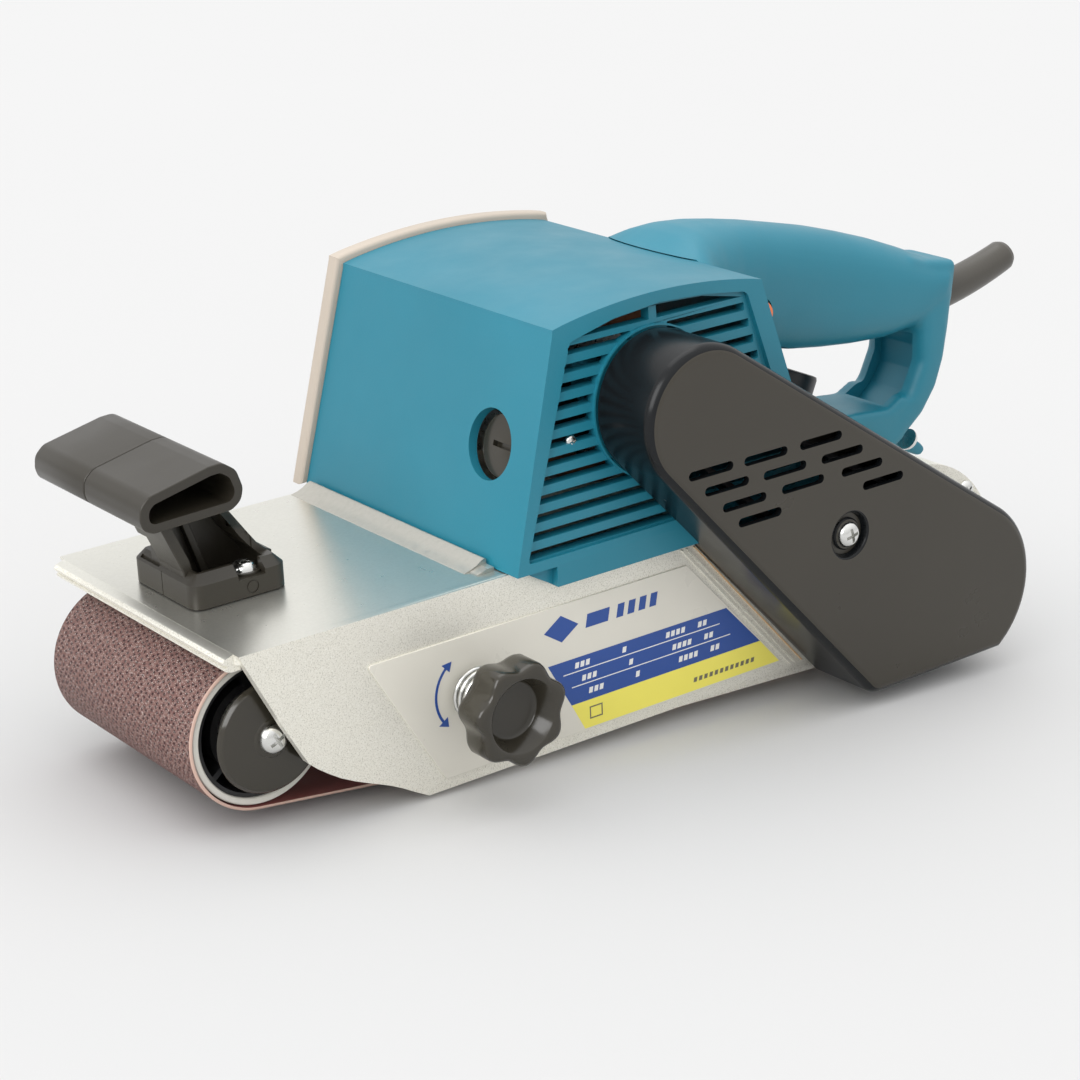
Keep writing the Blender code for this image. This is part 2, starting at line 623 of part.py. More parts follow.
def grille_slots():
    """Slots in the near wall, left of the cover's collar and over it."""
    middle, collar = HOUSING_MIDDLE, 22.6
    centre = (125.5, 66.5)
    spans = []
    for row in range(11):
        z = 36.6 + 5.1 * row
        left = middle - half_width(z) + 9.5
        right = middle + half_width(z) - 9.5
        if abs(z - centre[1]) < collar:
            stop = centre[0] - sqrt(collar ** 2 - (z - centre[1]) ** 2) - 1
            pairs = [(left, stop)]
            if z > centre[1] + 4:
                pairs.append((2 * centre[0] - stop, right + 1))
        elif z < centre[1]:
            pairs = [(left, min(middle - 1.7 + (centre[1] - collar - z) * 0.9, right))]
        else:
            pairs = [(left, middle - 3.3), (middle - 0.5, right + 1)]
        for start, end in pairs:
            spans.append(((start, HOUSING_NEAR - 2, z - 1.35), (end, HOUSING_NEAR + 5, z + 1.35)))
    return boxes("grille_cut", spans)


def motor_housing():
    shell = slab("motor_housing", housing_outline(), HOUSING_NEAR, HOUSING_FAR, "blue_plastic")
    skirt = box("housing_skirt", (86.5, HOUSING_NEAR, 22.3), (171, -SIDE - GAP, HOUSING_LOW + 1))
    inside = slab("housing_inside", housing_outline(-HOUSING_WALL, 20), HOUSING_NEAR + HOUSING_WALL, 60)
    boss = rod("bearing_boss", 14, HOUSING_NEAR + 1, -42, MOTOR_AXIS)
    seat = rod("bearing_seat", 11.3, -50, -41, MOTOR_AXIS)
    shaft_way = rod("shaft_way", 5, -60, -48, MOTOR_AXIS, sides=20)
    recess = slab("grille_recess", housing_outline(-7.5, 30), HOUSING_NEAR - 1, HOUSING_NEAR + 0.8)
    y, z = -34, MOTOR_AXIS[1]
    front = rod("front_brush_hole", 10, 74, 92, (y, z), along=ALONG_X)
    rear = rod("rear_brush_hole", 10, 166, 184, (y, z), along=ALONG_X)
    join(shell, skirt)
    cut(shell, inside, recess, grille_slots())
    join(shell, boss)
    return cut(shell, seat, shaft_way, front, rear)


def end_cap():
    """Beige cap on the open side: closes the housing and holds the far bearing."""
    start = HOUSING_FAR + GAP
    cap = slab("end_cap", housing_outline(CAP_PROUD), start, start + CAP_THICK, "beige_plastic", edge=1.0)
    boss = rod("cap_boss", 14, 43.5, start + 1, MOTOR_AXIS)
    seat = rod("cap_seat", 11.3, 40, 51.8, MOTOR_AXIS)
    vents = []
    for row in range(7):
        z = 38 + 7.5 * row
        for side in (-1, 1):
            near, far = sorted((side * 17, side * (half_width(z) - 9)))
            vents.append(((MOTOR_AXIS[0] + near, start - 1, z - 1.5),
                          (MOTOR_AXIS[0] + far, start + 10, z + 1.5)))
    join(cap, boss)
    return cut(cap, seat, boxes("cap_vents", vents))


# ---- rear handle, switch and cord guard ---------------------------------------------
HANDLE_TOP = [(166.8, 94), (167.4, 100.7), (176, 100.4), (186.4, 98.4), (204, 94.6), (222.4, 89.7),
              (246.8, 81.5), (269, 72.3), (283.6, 69.6)]
HANDLE_BACK = [(284, 59), (280.2, 57), (278.4, 46), (276.1, 37), (271, 25.8), (258.4, 15.6)]
HANDLE_FOOT = arc(DRIVE_AXIS, GUARD_RADIUS + 2 * GAP, 42, 100, 6) + [(185.2, 29.2)]
LOOP_TOP = [(188.5, 55.5), (196, 57.6), (209, 55.4), (224, 52.2), (240, 50), (252, 49)]
LOOP_BACK = [(262, 46.9), (266, 42), (266, 35.5), (261, 30.5), (250, 28)]
LOOP_LOW = [(236, 29.4), (220, 30.4), (200, 31.6), (190.5, 34)]


def handle_halves():
    """Two moulded halves that meet at Y = 0, hollow for the switch."""
    outline = HANDLE_TOP + HANDLE_BACK + HANDLE_FOOT
    loop = LOOP_TOP + LOOP_BACK + LOOP_LOW
    cavity = [(192, 62), (190, 86), (212, 83), (240, 74.5), (258, 67), (258, 58.5), (236, 58), (212, 63)]
    for name, low, high in (("handle_near", -0.15, 40), ("handle_far", -40, 0.15)):
        body = slab(name, outline, -HANDLE_HALF, HANDLE_HALF, "blue_plastic", edge=1.9, holes=[loop])
        split = box("split_" + name, (150, low, 0), (330, high, 120))
        room = slab("room_" + name, cavity, -HANDLE_HALF + 4, HANDLE_HALF - 4)
        trigger_way = box("trigger_way_" + name, (186, -7, 45), (214, 7, 66))
        way = [guard_route(step / 10) for step in (-0.3, *range(8))]
        guard_way = wire("guard_way_" + name, way, GUARD_TUBE + GAP)
        cut(body, split, room, trigger_way, guard_way)
        if low < 0 and high > 1:
            cut(body, rod("button_way", 4.4, -20, -8, (197, 70.5), sides=20))


def switch_parts():
    box("switch_body", (216, -9, 63.6), (238, 9, 74), "black_plastic")
    blade = [(188, 60.5), (190, 52), (197, 49.4), (206, 50.2), (211.6, 55), (211.6, 60.5)]
    slab("trigger", blade, -6.4, 6.4, "black_plastic", edge=1.0)
    turned("lock_button", [(0, -10), (4, -10), (4, -16.6), (3.2, -17.4), (0, -17.4)], (197, 70.5),
           "orange_plastic", closed=False, sides=20)


def guard_route(step):
    """Centre line of the cord guard: out of the handle, bending up."""
    return (268 + 48.5 * step, 0, 56 + 8.6 * step ** 2)


def cord_guard():
    steps = 10
    route = [guard_route(step / steps) for step in range(steps + 1)]
    taper = [1 - 0.14 * step / steps for step in range(steps + 1)]
    guard = wire("cord_guard", route, GUARD_TUBE, "grey_rubber", taper=taper)
    way = [guard_route(step / steps) for step in range(-1, steps + 3)]
    return cut(guard, wire("guard_bore", way, 3.2))


def foot_screw():
    made = turned("handle_foot_screw", [(0, 2.2), (2.6, 1.9), (3.8, 0), (0, 0)], (0, 0), "steel",
                  closed=False, sides=20, along=UPRIGHT)
    made.location = Vector((262, -9, 15)) * MM
    made.rotation_euler = (0, radians(128), 0)


# ---- dust outlet --------------------------------------------------------------------
def dust_parts():
    foot = GUARD_RADIUS + GAP
    spout = ring("dust_spout", 9, 11, foot, foot + 14, (0, 0), "black_plastic", along=UPRIGHT, sides=28)
    spout.location = Vector((DRIVE_AXIS[0], 31, DRIVE_AXIS[1])) * MM
    spout.rotation_euler = (0, radians(24), 0)
    return spout


# ---- front grip ---------------------------------------------------------------------
GRIP_SECTION = [(-14.8, 53.2), (9, 54), (12, 56), (12.9, 59.5), (11.2, 64.8), (7, 67.8), (3, 67.6),
                (-15.2, 63.6), (-18, 61), (-18.4, 57.5), (-17.6, 54.6)]


def inset(outline, distance):
    """Move a closed counter-clockwise outline inwards."""
    moved = []
    count = len(outline)
    for index in range(count):
        before, here, after = outline[index - 1], outline[index], outline[(index + 1) % count]
        first = Vector((here[0] - before[0], here[1] - before[1])).normalized()
        second = Vector((after[0] - here[0], after[1] - here[1])).normalized()
        normal = Vector((-first.y - second.y, first.x + second.x)).normalized()
        reach = distance / max(0.3, normal.dot(Vector((-first.y, first.x))))
        moved.append((here[0] + normal.x * reach, here[1] + normal.y * reach))
    return moved


def front_grip():
    base = box("grip_base", (-4.4, -15.3, PLATE_TOP + GAP), (25, 18.5, 36.8), "grey_plastic")
    lean = [(-4.4, 36), (25, 36), (12, 56), (-10, 56)]
    stem = slab("grip_stem", lean, -3, 9)
    near_tube = slab("grip_near_tube", GRIP_SECTION, -16, 14.8)
    near_room = slab("grip_near_room", inset(GRIP_SECTION, 1.8), -20, 12.8)
    join(base, stem, near_tube)
    holes = [rod("grip_hole", 2.5, 20, 45, (14.5, y), along=UPRIGHT, sides=16) for y in (-9.5, 14)]
    wells = [rod("grip_well", 4.3, 33.6, 45, (14.5, y), along=UPRIGHT, sides=20) for y in (-9.5, 14)]
    cut(base, near_room, *holes, *wells)
    base.name = "front_grip"
    far = slab("grip_end_sleeve", GRIP_SECTION, 15.1, 44, "grey_plastic", edge=1.2)
    far_room = slab("grip_far_room", inset(GRIP_SECTION, 2), 10, 40)
    cut(far, far_room)
    for name, y in (("grip_screw_near", -9.5), ("grip_screw_far", 14)):
        head = [(0, 35.9), (2.6, 35.6), (3.7, 33.9), (2.1, 33.9), (2.1, PLATE_TOP + GAP), (0, PLATE_TOP + GAP)]
        turned(name, head, (14.5, y), "steel", closed=False, sides=20, along=UPRIGHT)


sanding_belt()
base_casting()
sole_parts()
nameplate()
guard_screw()
front_roller()
roller_fork()
tension_slide()
tension_spring()
tracking_parts()
release_lever()
drive_roller()
toothed_drive()
belt_cover()
motor_parts()
brush_parts()
motor_housing()
end_cap()
handle_halves()
switch_parts()
cord_guard()
foot_screw()
dust_parts()
front_grip()
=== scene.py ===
"""Looks of the handheld belt sander: detailed pieces, materials, floor, light and camera.

Pieces are built in the casting's own frame, in millimetres, as the CAD was: its origin is
the middle of the front roller's axle, X runs back along the top plate, Y from the drive
cover's side to the open side, Z is square to the top plate.  CAST puts that frame in place.
"""
from math import acos, atan2, cos, hypot, pi, radians, sin, sqrt, tan

import bmesh
import bpy
from mathutils import Matrix, Vector


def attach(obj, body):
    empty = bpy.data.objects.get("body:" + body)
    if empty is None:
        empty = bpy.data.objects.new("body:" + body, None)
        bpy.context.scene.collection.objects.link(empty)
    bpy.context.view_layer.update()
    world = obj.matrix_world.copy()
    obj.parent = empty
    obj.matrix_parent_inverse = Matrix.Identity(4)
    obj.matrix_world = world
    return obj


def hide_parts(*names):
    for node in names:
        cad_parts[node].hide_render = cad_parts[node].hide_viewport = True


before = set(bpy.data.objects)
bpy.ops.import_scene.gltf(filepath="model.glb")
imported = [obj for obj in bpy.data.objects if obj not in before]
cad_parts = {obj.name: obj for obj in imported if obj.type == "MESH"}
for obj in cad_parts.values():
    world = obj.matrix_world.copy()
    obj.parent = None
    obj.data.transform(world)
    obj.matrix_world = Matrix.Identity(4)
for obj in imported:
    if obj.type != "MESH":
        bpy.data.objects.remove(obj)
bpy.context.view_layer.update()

MM = 0.001
PITCH = radians(3.15)
SOLE_DROP = 27.6
FRAME_X, FRAME_Y = -146.28, 7.95
CAST = (Matrix.Translation(Vector((FRAME_X, FRAME_Y, SOLE_DROP * cos(PITCH))) * MM)
        @ Matrix.Rotation(-PITCH, 4, "Y"))

DRIVE_AXIS = (227.5, -10.8)
DRIVE_RADIUS, FRONT_RADIUS = 28.2, 22
MOTOR_AXIS = (127, 63)
COLLAR_CENTRE = (125.5, 66.5)
COVER_SCREW_AT = (177.5, 19.9)
BUTTON_AXIS = (197, 70.5)
GRIP_SCREW_X, GRIP_SCREW_Y = 14.5, (-9.5, 14)
KNOB_AXIS = (59.3, -1.6)
SIDE = 49.3
COVER_FACE = -73.8
PLATE_TOP = 28
GUARD_RADIUS = 33.5
HOUSING_MIDDLE = 129
HOUSING_NEAR, HOUSING_FAR = -54, 53
HOUSING_LOW, HOUSING_HIGH = 28.3, 93.5
HALF_LOW, HALF_HIGH, CROWN = 55.6, 37, 3.8


# ---- materials ----------------------------------------------------------------------
def new_material(name, colour, roughness, metallic=0.0, specular=0.5):
    """A Principled material with its constant values set on the shader itself."""
    made = bpy.data.materials.new(name)
    made.use_nodes = True
    shader = made.node_tree.nodes["Principled BSDF"]
    shader.inputs["Base Color"].default_value = (*colour, 1)
    shader.inputs["Roughness"].default_value = roughness
    shader.inputs["Metallic"].default_value = metallic
    shader.inputs["Specular IOR Level"].default_value = specular
    return made


def noise(made, scale, detail=4.0):
    """A noise texture in object coordinates, at so many cells a metre."""
    nodes, links = made.node_tree.nodes, made.node_tree.links
    where = nodes.new("ShaderNodeTexCoord")
    texture = nodes.new("ShaderNodeTexNoise")
    texture.inputs["Scale"].default_value = scale
    texture.inputs["Detail"].default_value = detail
    links.new(where.outputs["Object"], texture.inputs["Vector"])
    return texture.outputs["Fac"]


def ramp(made, source, stops):
    """A colour ramp over a value: (position, colour) stops."""
    node = made.node_tree.nodes.new("ShaderNodeValToRGB")
    made.node_tree.links.new(source, node.inputs["Fac"])
    elements = node.color_ramp.elements
    while len(elements) < len(stops):
        elements.new(0.5)
    for element, (position, colour) in zip(elements, stops):
        element.position = position
        element.color = (*colour, 1)
    return node.outputs["Color"]


def bump(made, source, strength, distance, after=None):
    """A bump normal from a height, laid over another one where it is given."""
    node = made.node_tree.nodes.new("ShaderNodeBump")
    node.inputs["Strength"].default_value = strength
    node.inputs["Distance"].default_value = distance
    made.node_tree.links.new(source, node.inputs["Height"])
    if after:
        made.node_tree.links.new(after, node.inputs["Normal"])
    return node.outputs["Normal"]


def drive(made, socket, source):
    """Feed one of the shader's sockets from a node's output."""
    shader = made.node_tree.nodes["Principled BSDF"]
    made.node_tree.links.new(source, shader.inputs[socket])


def scaled(colour, factor):
    """A colour brighter or darker by a factor."""
    return tuple(min(1, channel * factor) for channel in colour)


def plastic(name, colour, roughness, grain, depth, specular=0.5):
    """Moulded plastic: fine skin texture, faint cloudiness in colour and gloss."""
    made = new_material(name, colour, roughness, specular=specular)
    shades = [(0.3, scaled(colour, 0.94)), (0.7, scaled(colour, 1.05))]
    drive(made, "Base Color", ramp(made, noise(made, 18), shades))
    low, high = roughness * 0.85, min(1, roughness * 1.15)
    drive(made, "Roughness", ramp(made, noise(made, 60), [(0.3, (low,) * 3), (0.7, (high,) * 3)]))
    drive(made, "Normal", bump(made, noise(made, grain, 2), 0.5, depth))
    return made


def speckled_casting():
    """Sand-cast aluminium under a clear coat: light grey with dark and bright grains."""
    made = new_material("speckled_casting", (0.84, 0.815, 0.73), 0.55, metallic=0.75)
    fine = ramp(made, noise(made, 2600, 3), [(0.32, (0.62, 0.60, 0.53)), (0.45, (0.83, 0.81, 0.73)),
                                             (0.60, (0.87, 0.85, 0.775)), (0.74, (0.98, 0.97, 0.92))])
    drive(made, "Base Color", fine)
    drive(made, "Roughness", ramp(made, noise(made, 160), [(0.3, (0.52,) * 3), (0.7, (0.60,) * 3)]))
    drive(made, "Normal", bump(made, noise(made, 2000, 3), 0.4, 0.00006))
    return made


def machined_top():
    """The top plate: paler satin that mirrors the housing, with faint grain."""
    made = new_material("machined_top", (0.74, 0.73, 0.67), 0.27, metallic=0.9)
    drive(made, "Base Color", ramp(made, noise(made, 1300, 3),
                                   [(0.25, (0.71, 0.70, 0.64)), (0.75, (0.77, 0.76, 0.70))]))
    drive(made, "Roughness", ramp(made, noise(made, 260, 2), [(0.2, (0.27,) * 3), (0.8, (0.30,) * 3)]))
    drive(made, "Normal", bump(made, noise(made, 2600, 2), 0.04, 0.00001))
    return made


def abrasive_belt():
    """Open-coat abrasive on cloth: maroon grain with staggered rows of pits and pale sparks."""
    made = new_material("abrasive_belt", (0.15, 0.085, 0.08), 0.75, specular=0.3)
    nodes, links = made.node_tree.nodes, made.node_tree.links
    where = nodes.new("ShaderNodeTexCoord")
    weave = nodes.new("ShaderNodeMapping")
    weave.inputs["Rotation"].default_value = (0, 0, 0.5)
    weave.inputs["Scale"].default_value = (0.78, 1.0, 1.0)
    links.new(where.outputs["UV"], weave.inputs["Vector"])
    cells = nodes.new("ShaderNodeTexVoronoi")
    cells.voronoi_dimensions = "2D"
    cells.inputs["Scale"].default_value = 640
    cells.inputs["Randomness"].default_value = 0.42
    links.new(weave.outputs["Vector"], cells.inputs["Vector"])
    pits = ramp(made, cells.outputs["Distance"], [(0.16, (0.030, 0.008, 0.009)),
                                                  (0.30, (0.130, 0.062, 0.055)),
                                                  (0.62, (0.190, 0.104, 0.090))])
    sparks = ramp(made, noise(made, 3200, 2), [(0.58, (0, 0, 0)), (0.66, (0.80, 0.76, 0.70))])
    mix = nodes.new("ShaderNodeMixRGB")
    mix.blend_type = "SCREEN"
    mix.inputs["Fac"].default_value = 0.5
    links.new(pits, mix.inputs["Color1"])
    links.new(sparks, mix.inputs["Color2"])
    drive(made, "Base Color", mix.outputs["Color"])
    first = bump(made, cells.outputs["Distance"], 0.7, 0.0003)
    drive(made, "Normal", bump(made, noise(made, 3200, 2), 0.6, 0.0003, first))
    return made


def metal(name, colour, roughness, grain=900):
    """Bare metal with uneven gloss and a fine grain."""
    made = new_material(name, colour, roughness, metallic=1.0)
    gloss = [(0.3, (roughness * 0.7,) * 3), (0.7, (roughness * 1.3,) * 3)]
    drive(made, "Roughness", ramp(made, noise(made, grain), gloss))
    drive(made, "Normal", bump(made, noise(made, grain * 2), 0.15, 0.00003))
    return made


BLUE = plastic("blue_housing", (0.012, 0.185, 0.262), 0.42, 1800, 0.00005)
BEIGE = plastic("beige_cap", (0.50, 0.435, 0.365), 0.5, 2200, 0.00005)
# Glossier black for the cover's sides, in a colour much darker than the face's black: the gloss is real,
# the darker colour is painted shade on the sides.
COVER_SHADED_SIDE = plastic("black_cover_shaded_side", (0.007, 0.008, 0.009), 0.24, 1700, 0.00001, specular=0.25)
BRONZE = plastic("seal_strip", (0.62, 0.40, 0.20), 0.5, 2400, 0.0001)
COVER = plastic("black_cover", (0.034, 0.029, 0.020), 0.32, 1700, 0.00002)
KNOB = plastic("black_knob", (0.032, 0.028, 0.020), 0.17, 900, 0.00001)
GRIP = plastic("grey_grip", (0.028, 0.024, 0.017), 0.36, 2600, 0.00004)
INNER = plastic("black_inner", (0.008, 0.008, 0.009), 0.40, 1700, 0.00004)
RIM = plastic("ivory_rim", (0.66, 0.64, 0.58), 0.42, 1200, 0.00003)
GUARD = plastic("cord_rubber", (0.066, 0.060, 0.050), 0.33, 1500, 0.00005)
ORANGE = plastic("orange_button", (0.85, 0.19, 0.045), 0.35, 900, 0.00002)
CASTING = speckled_casting()
# A darker casting colour, given to the ridge's sloping faces.
RIDGE = metal("ridge_slope_casting", (0.50, 0.485, 0.44), 0.5, 500)
TOP = machined_top()
ABRASIVE = abrasive_belt()
CLOTH = plastic("belt_cloth", (0.20, 0.052, 0.045), 0.85, 3000, 0.0001)
FRAY = plastic("belt_edge", (0.58, 0.40, 0.33), 0.85, 5200, 0.0002)
STEEL = metal("bright_screw", (0.72, 0.72, 0.70), 0.20)
DARK_STEEL = metal("plain_steel", (0.42, 0.42, 0.41), 0.32)
COPPER = metal("copper", (0.22, 0.10, 0.055), 0.5)
CORK = plastic("cork", (0.42, 0.27, 0.15), 0.9, 700, 0.0003)
SILVER_FOIL = plastic("silver_foil", (0.70, 0.675, 0.60), 0.30, 1500, 0.00001)
INK_BLUE = plastic("ink_blue", (0.018, 0.070, 0.300), 0.35, 1500, 0.00001)
INK_YELLOW = plastic("ink_yellow", (0.88, 0.79, 0.13), 0.35, 1500, 0.00001)
INK_GREY = plastic("ink_grey", (0.16, 0.15, 0.10), 0.5, 1500, 0.00001)
INK_WHITE = plastic("ink_white", (0.80, 0.80, 0.78), 0.4, 1500, 0.00001)


# ---- building helpers ---------------------------------------------------------------
def put(name, mesh, local=None, body="machine", finish=None):
    """Place a mesh, given in metres in its own frame, in the casting's frame and on a body."""
    made = bpy.data.objects.new(name, mesh)
    bpy.context.scene.collection.objects.link(made)
    made.matrix_world = CAST @ (local or Matrix.Identity(4))
    if finish:
        paint(made, finish)
        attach(made, body)
    return made


def settle(made):
    """Apply every modifier, so the piece is a plain mesh."""
    bpy.context.view_layer.update()
    ready = made.evaluated_get(bpy.context.evaluated_depsgraph_get())
    mesh = bpy.data.meshes.new_from_object(ready)
    made.modifiers.clear()
    made.data = mesh
    return made


def drop(*others):
    """Remove helper pieces once they have been used."""
    for other in others:
        bpy.data.objects.remove(other, do_unlink=True)


def boolean(made, operation, others):
    """Run one exact boolean for each of the other pieces, and use them up."""
    for other in others:
        step = made.modifiers.new("step", "BOOLEAN")
        step.operation = operation
        step.object = other
        step.solver = "EXACT"
        settle(made)
    drop(*others)
    return made


def cut(made, *others):
    """Cut the other pieces away."""
    return boolean(made, "DIFFERENCE", others)


def join(made, *others):
    """Add the other pieces."""
    return boolean(made, "UNION", others)


def rounded(made, width, segments=2, angle=35):
    """Small radii on every hard edge, with the shading kept flat across faces."""
    bevel = made.modifiers.new("radii", "BEVEL")
    bevel.width = width * MM
    bevel.segments = segments
    bevel.limit_method = "ANGLE"
    bevel.angle_limit = radians(angle)
    bevel.harden_normals = True
    bevel.miter_outer = "MITER_ARC"
    made.data.shade_smooth()
    return made


def paint(made, *finishes):
    """Give a piece its finishes, in slot order."""
    made.data.materials.clear()
    for finish in finishes:
        made.data.materials.append(finish)


def flatten(made):
    """Keep the shading of wide flat faces flat beside their rounded edges."""
    even = made.modifiers.new("flatten", "WEIGHTED_NORMAL")
    even.mode = "FACE_AREA"
    even.weight = 90
    even.keep_sharp = True
    return made


def sharpen(made, angle=35):
    """Smooth shading that keeps edges over the angle sharp."""
    made.data.shade_smooth()
    made.data.set_sharp_from_angle(angle=radians(angle))
    return made


def merged(made, *others):
    """Gather several closed meshes, placed alike, into one, for a remesh to unite."""
    shape = bmesh.new()
    for one in (made, *others):
        shape.from_mesh(one.data)
    mesh = bpy.data.meshes.new(made.name)
    shape.to_mesh(mesh)
    shape.free()
    made.data = mesh
    drop(*others)
    return made


def outward_mesh(name, shape):
    """Turn a bmesh into a mesh with every face looking outwards."""
    bmesh.ops.recalc_face_normals(shape, faces=shape.faces)
    mesh = bpy.data.meshes.new(name)
    shape.to_mesh(mesh)
    shape.free()
    return mesh


def span(shape, rings):
    """Close a bmesh between rings of equal length, with a flat face on each end."""
    sides = len(rings[0])
    for one, two in zip(rings, rings[1:]):
        for k in range(sides):
            shape.faces.new((one[k], one[(k + 1) % sides], two[(k + 1) % sides], two[k]))
    shape.faces.new(rings[0])
    shape.faces.new(rings[-1])


def block(name, low, high, **where):
    """A box between two opposite corners."""
    low, high = Vector(low), Vector(high)
    shape = bmesh.new()
    middle = Matrix.Translation((low + high) / 2 * MM)
    bmesh.ops.create_cube(shape, size=MM, matrix=middle @ Matrix.Diagonal((*(high - low), 1)))
    mesh = bpy.data.meshes.new(name)
    shape.to_mesh(mesh)
    shape.free()
    return put(name, mesh, **where)


def curve_mesh(name, curve):
    """The closed mesh of a curve."""
    holder = bpy.data.objects.new(name + "_curve", curve)
    bpy.context.scene.collection.objects.link(holder)
    bpy.context.view_layer.update()
    mesh = bpy.data.meshes.new_from_object(holder.evaluated_get(bpy.context.evaluated_depsgraph_get()))
    drop(holder)
    shape = bmesh.new()
    shape.from_mesh(mesh)
    bmesh.ops.remove_doubles(shape, verts=shape.verts, dist=0.000002)
    bmesh.ops.recalc_face_normals(shape, faces=shape.faces)
    shape.to_mesh(mesh)
    shape.free()
    mesh.name = name
    return mesh


def slab(name, outline, start, end, edge=0.0, segments=3, holes=(), plane="XZ", **where):
    """A flat outline extruded between two Y (or Z) positions, with rounded face edges."""
    curve = bpy.data.curves.new(name, "CURVE")
    curve.dimensions = "2D"
    curve.fill_mode = "BOTH"
    curve.extrude = ((end - start) / 2 - edge) * MM
    curve.bevel_depth = edge * MM
    curve.offset = -edge * MM
    curve.bevel_resolution = segments
    for loop in [outline, *holes]:
        spline = curve.splines.new("POLY")
        spline.points.add(len(loop) - 1)
        for point, (x, y) in zip(spline.points, loop):
            point.co = (x * MM, y * MM, 0, 1)
        spline.use_cyclic_u = True
    mesh = curve_mesh(name, curve)
    middle = (start + end) / 2 * MM
    if plane == "XZ":
        local = Matrix.Translation((0, middle, 0)) @ Matrix.Rotation(pi / 2, 4, "X")
    else:
        local = Matrix.Translation((0, 0, middle))
    mesh.transform(local)
    made = put(name, mesh, **where)
    return sharpen(made, 30)


def arc(centre, radius, first, last, steps):
    """Points on a circle between two angles in degrees."""
    turn = [radians(first + (last - first) * step / steps) for step in range(steps + 1)]
    return [(centre[0] + radius * cos(angle), centre[1] + radius * sin(angle)) for angle in turn]


def soft_corners(outline, radius, steps=5):
    """Round the corners of a closed outline; radius may be one number or one for each corner."""
    count = len(outline)
    points = []
    for index in range(count):
        reach = radius[index] if isinstance(radius, (list, tuple)) else radius
        here = Vector(outline[index])
        before = Vector(outline[index - 1]) - here
        after = Vector(outline[(index + 1) % count]) - here
        if reach <= 0:
            points.append(tuple(here))
            continue
        half = before.angle(after) / 2
        length = min(reach / tan(half), before.length * 0.48, after.length * 0.48)
        first, last = here + before.normalized() * length, here + after.normalized() * length
        for step in range(steps + 1):
            t = step / steps
            spot = first * (1 - t) ** 2 + here * 2 * t * (1 - t) + last * t ** 2
            points.append(tuple(spot))
    return points


def box_outline(left, right, middle, half):
    """A level box outline between two ends, at half a height to each side."""
    return [(left, middle - half), (right, middle - half), (right, middle + half), (left, middle + half)]


def turned(name, profile, local, sides=64, closed=True, **where):
    """A (radius, height) profile turned about the local Z axis."""
    shape = bmesh.new()
    rings = []
    for radius, height in profile:
        if radius < 1e-6:
            rings.append([shape.verts.new((0, 0, height * MM))])
        else:
            rings.append([shape.verts.new((radius * cos(2 * pi * k / sides) * MM,
                                           radius * sin(2 * pi * k / sides) * MM, height * MM))
                          for k in range(sides)])
    pairs = list(zip(rings, rings[1:])) + ([(rings[-1], rings[0])] if closed else [])
    for one, two in pairs:
        for k in range(sides):
            n = (k + 1) % sides
            corners = [one[k % len(one)], one[n % len(one)], two[n % len(two)], two[k % len(two)]]
            unique = []
            for corner in corners:
                if corner not in unique:
                    unique.append(corner)
            if len(unique) > 2:
                shape.faces.new(unique)
    mesh = outward_mesh(name, shape)
    mesh.transform(local)
    made = put(name, mesh, **where)
    return sharpen(made, 30)


def rod(name, radius, low, high, place):
    """A solid cylinder along the place's Z, for cutting and joining."""
    return turned(name, [(0, high), (radius, high), (radius, low), (0, low)], place, closed=False)


def facing(x, y, z, direction):
    """Local frame at a point whose Z looks along a direction of the casting's frame."""
    turn = Vector(direction).to_track_quat("Z", "Y").to_matrix().to_4x4()
    return Matrix.Translation(Vector((x, y, z)) * MM) @ turn


NEAR = (0, -1, 0)


def near_at(axis, y):
    """Local frame on a sideways axis, looking towards the camera's side."""
    return facing(axis[0], y, axis[1], NEAR)


def pan_screw(name, place, radius, body="machine", turn=20):
    """A pan-head screw with a cross recess, its bearing face at the place given."""
    rise = radius * 0.62
    profile = [(0, rise), (radius * 0.35, rise * 0.98), (radius * 0.65, rise * 0.86),
               (radius * 0.86, rise * 0.6), (radius * 0.97, rise * 0.28), (radius, 0.0), (radius, -0.3),
               (0, -0.3)]
    head = turned(name, profile, place, closed=False, sides=48)
    arms = []
    for quarter in range(2):
        spin = Matrix.Rotation(radians(turn + 90 * quarter), 4, "Z")
        arm = block("arm", (-radius * 0.56, -radius * 0.12, rise * 0.25),
                    (radius * 0.56, radius * 0.12, rise * 2))
        arm.matrix_world = CAST @ place @ spin
        arms.append(arm)
    cut(head, *arms)
    paint(head, STEEL)
    rounded(head, 0.12, 2, 40)
    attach(head, body)
    return head


def floor_height(x, lift=0.0):
    """Height of the floor, or of a line lifted above it, at a place along the casting."""
    return -SOLE_DROP - x * tan(PITCH) + lift / cos(PITCH)


# ---- sanding belt and rollers -------------------------------------------------------
def belt_outline():
    """The belt's outer loop: round both rollers and flat under the sole."""
    low = [(74, floor_height(74)), (195, floor_height(195))]
    across, up = DRIVE_AXIS
    lean = atan2(up, across) + acos((FRONT_RADIUS - DRIVE_RADIUS) / hypot(across, up))

    def touch(centre, radius, point, side):
        along, high = point[0] - centre[0], point[1] - centre[1]
        return atan2(high, along) + side * acos(radius / hypot(along, high))
    start, end = lean * 180 / pi, touch((0, 0), FRONT_RADIUS, low[0], -1) * 180 / pi + 360
    while end - start > 360:
        end -= 360
    front = arc((0, 0), FRONT_RADIUS, start, end, 72)
    start, end = touch(DRIVE_AXIS, DRIVE_RADIUS, low[1], 1) * 180 / pi, lean * 180 / pi
    while start > end:
        start -= 360
    back = arc(DRIVE_AXIS, DRIVE_RADIUS, start, end, 72)
    return front + low + back


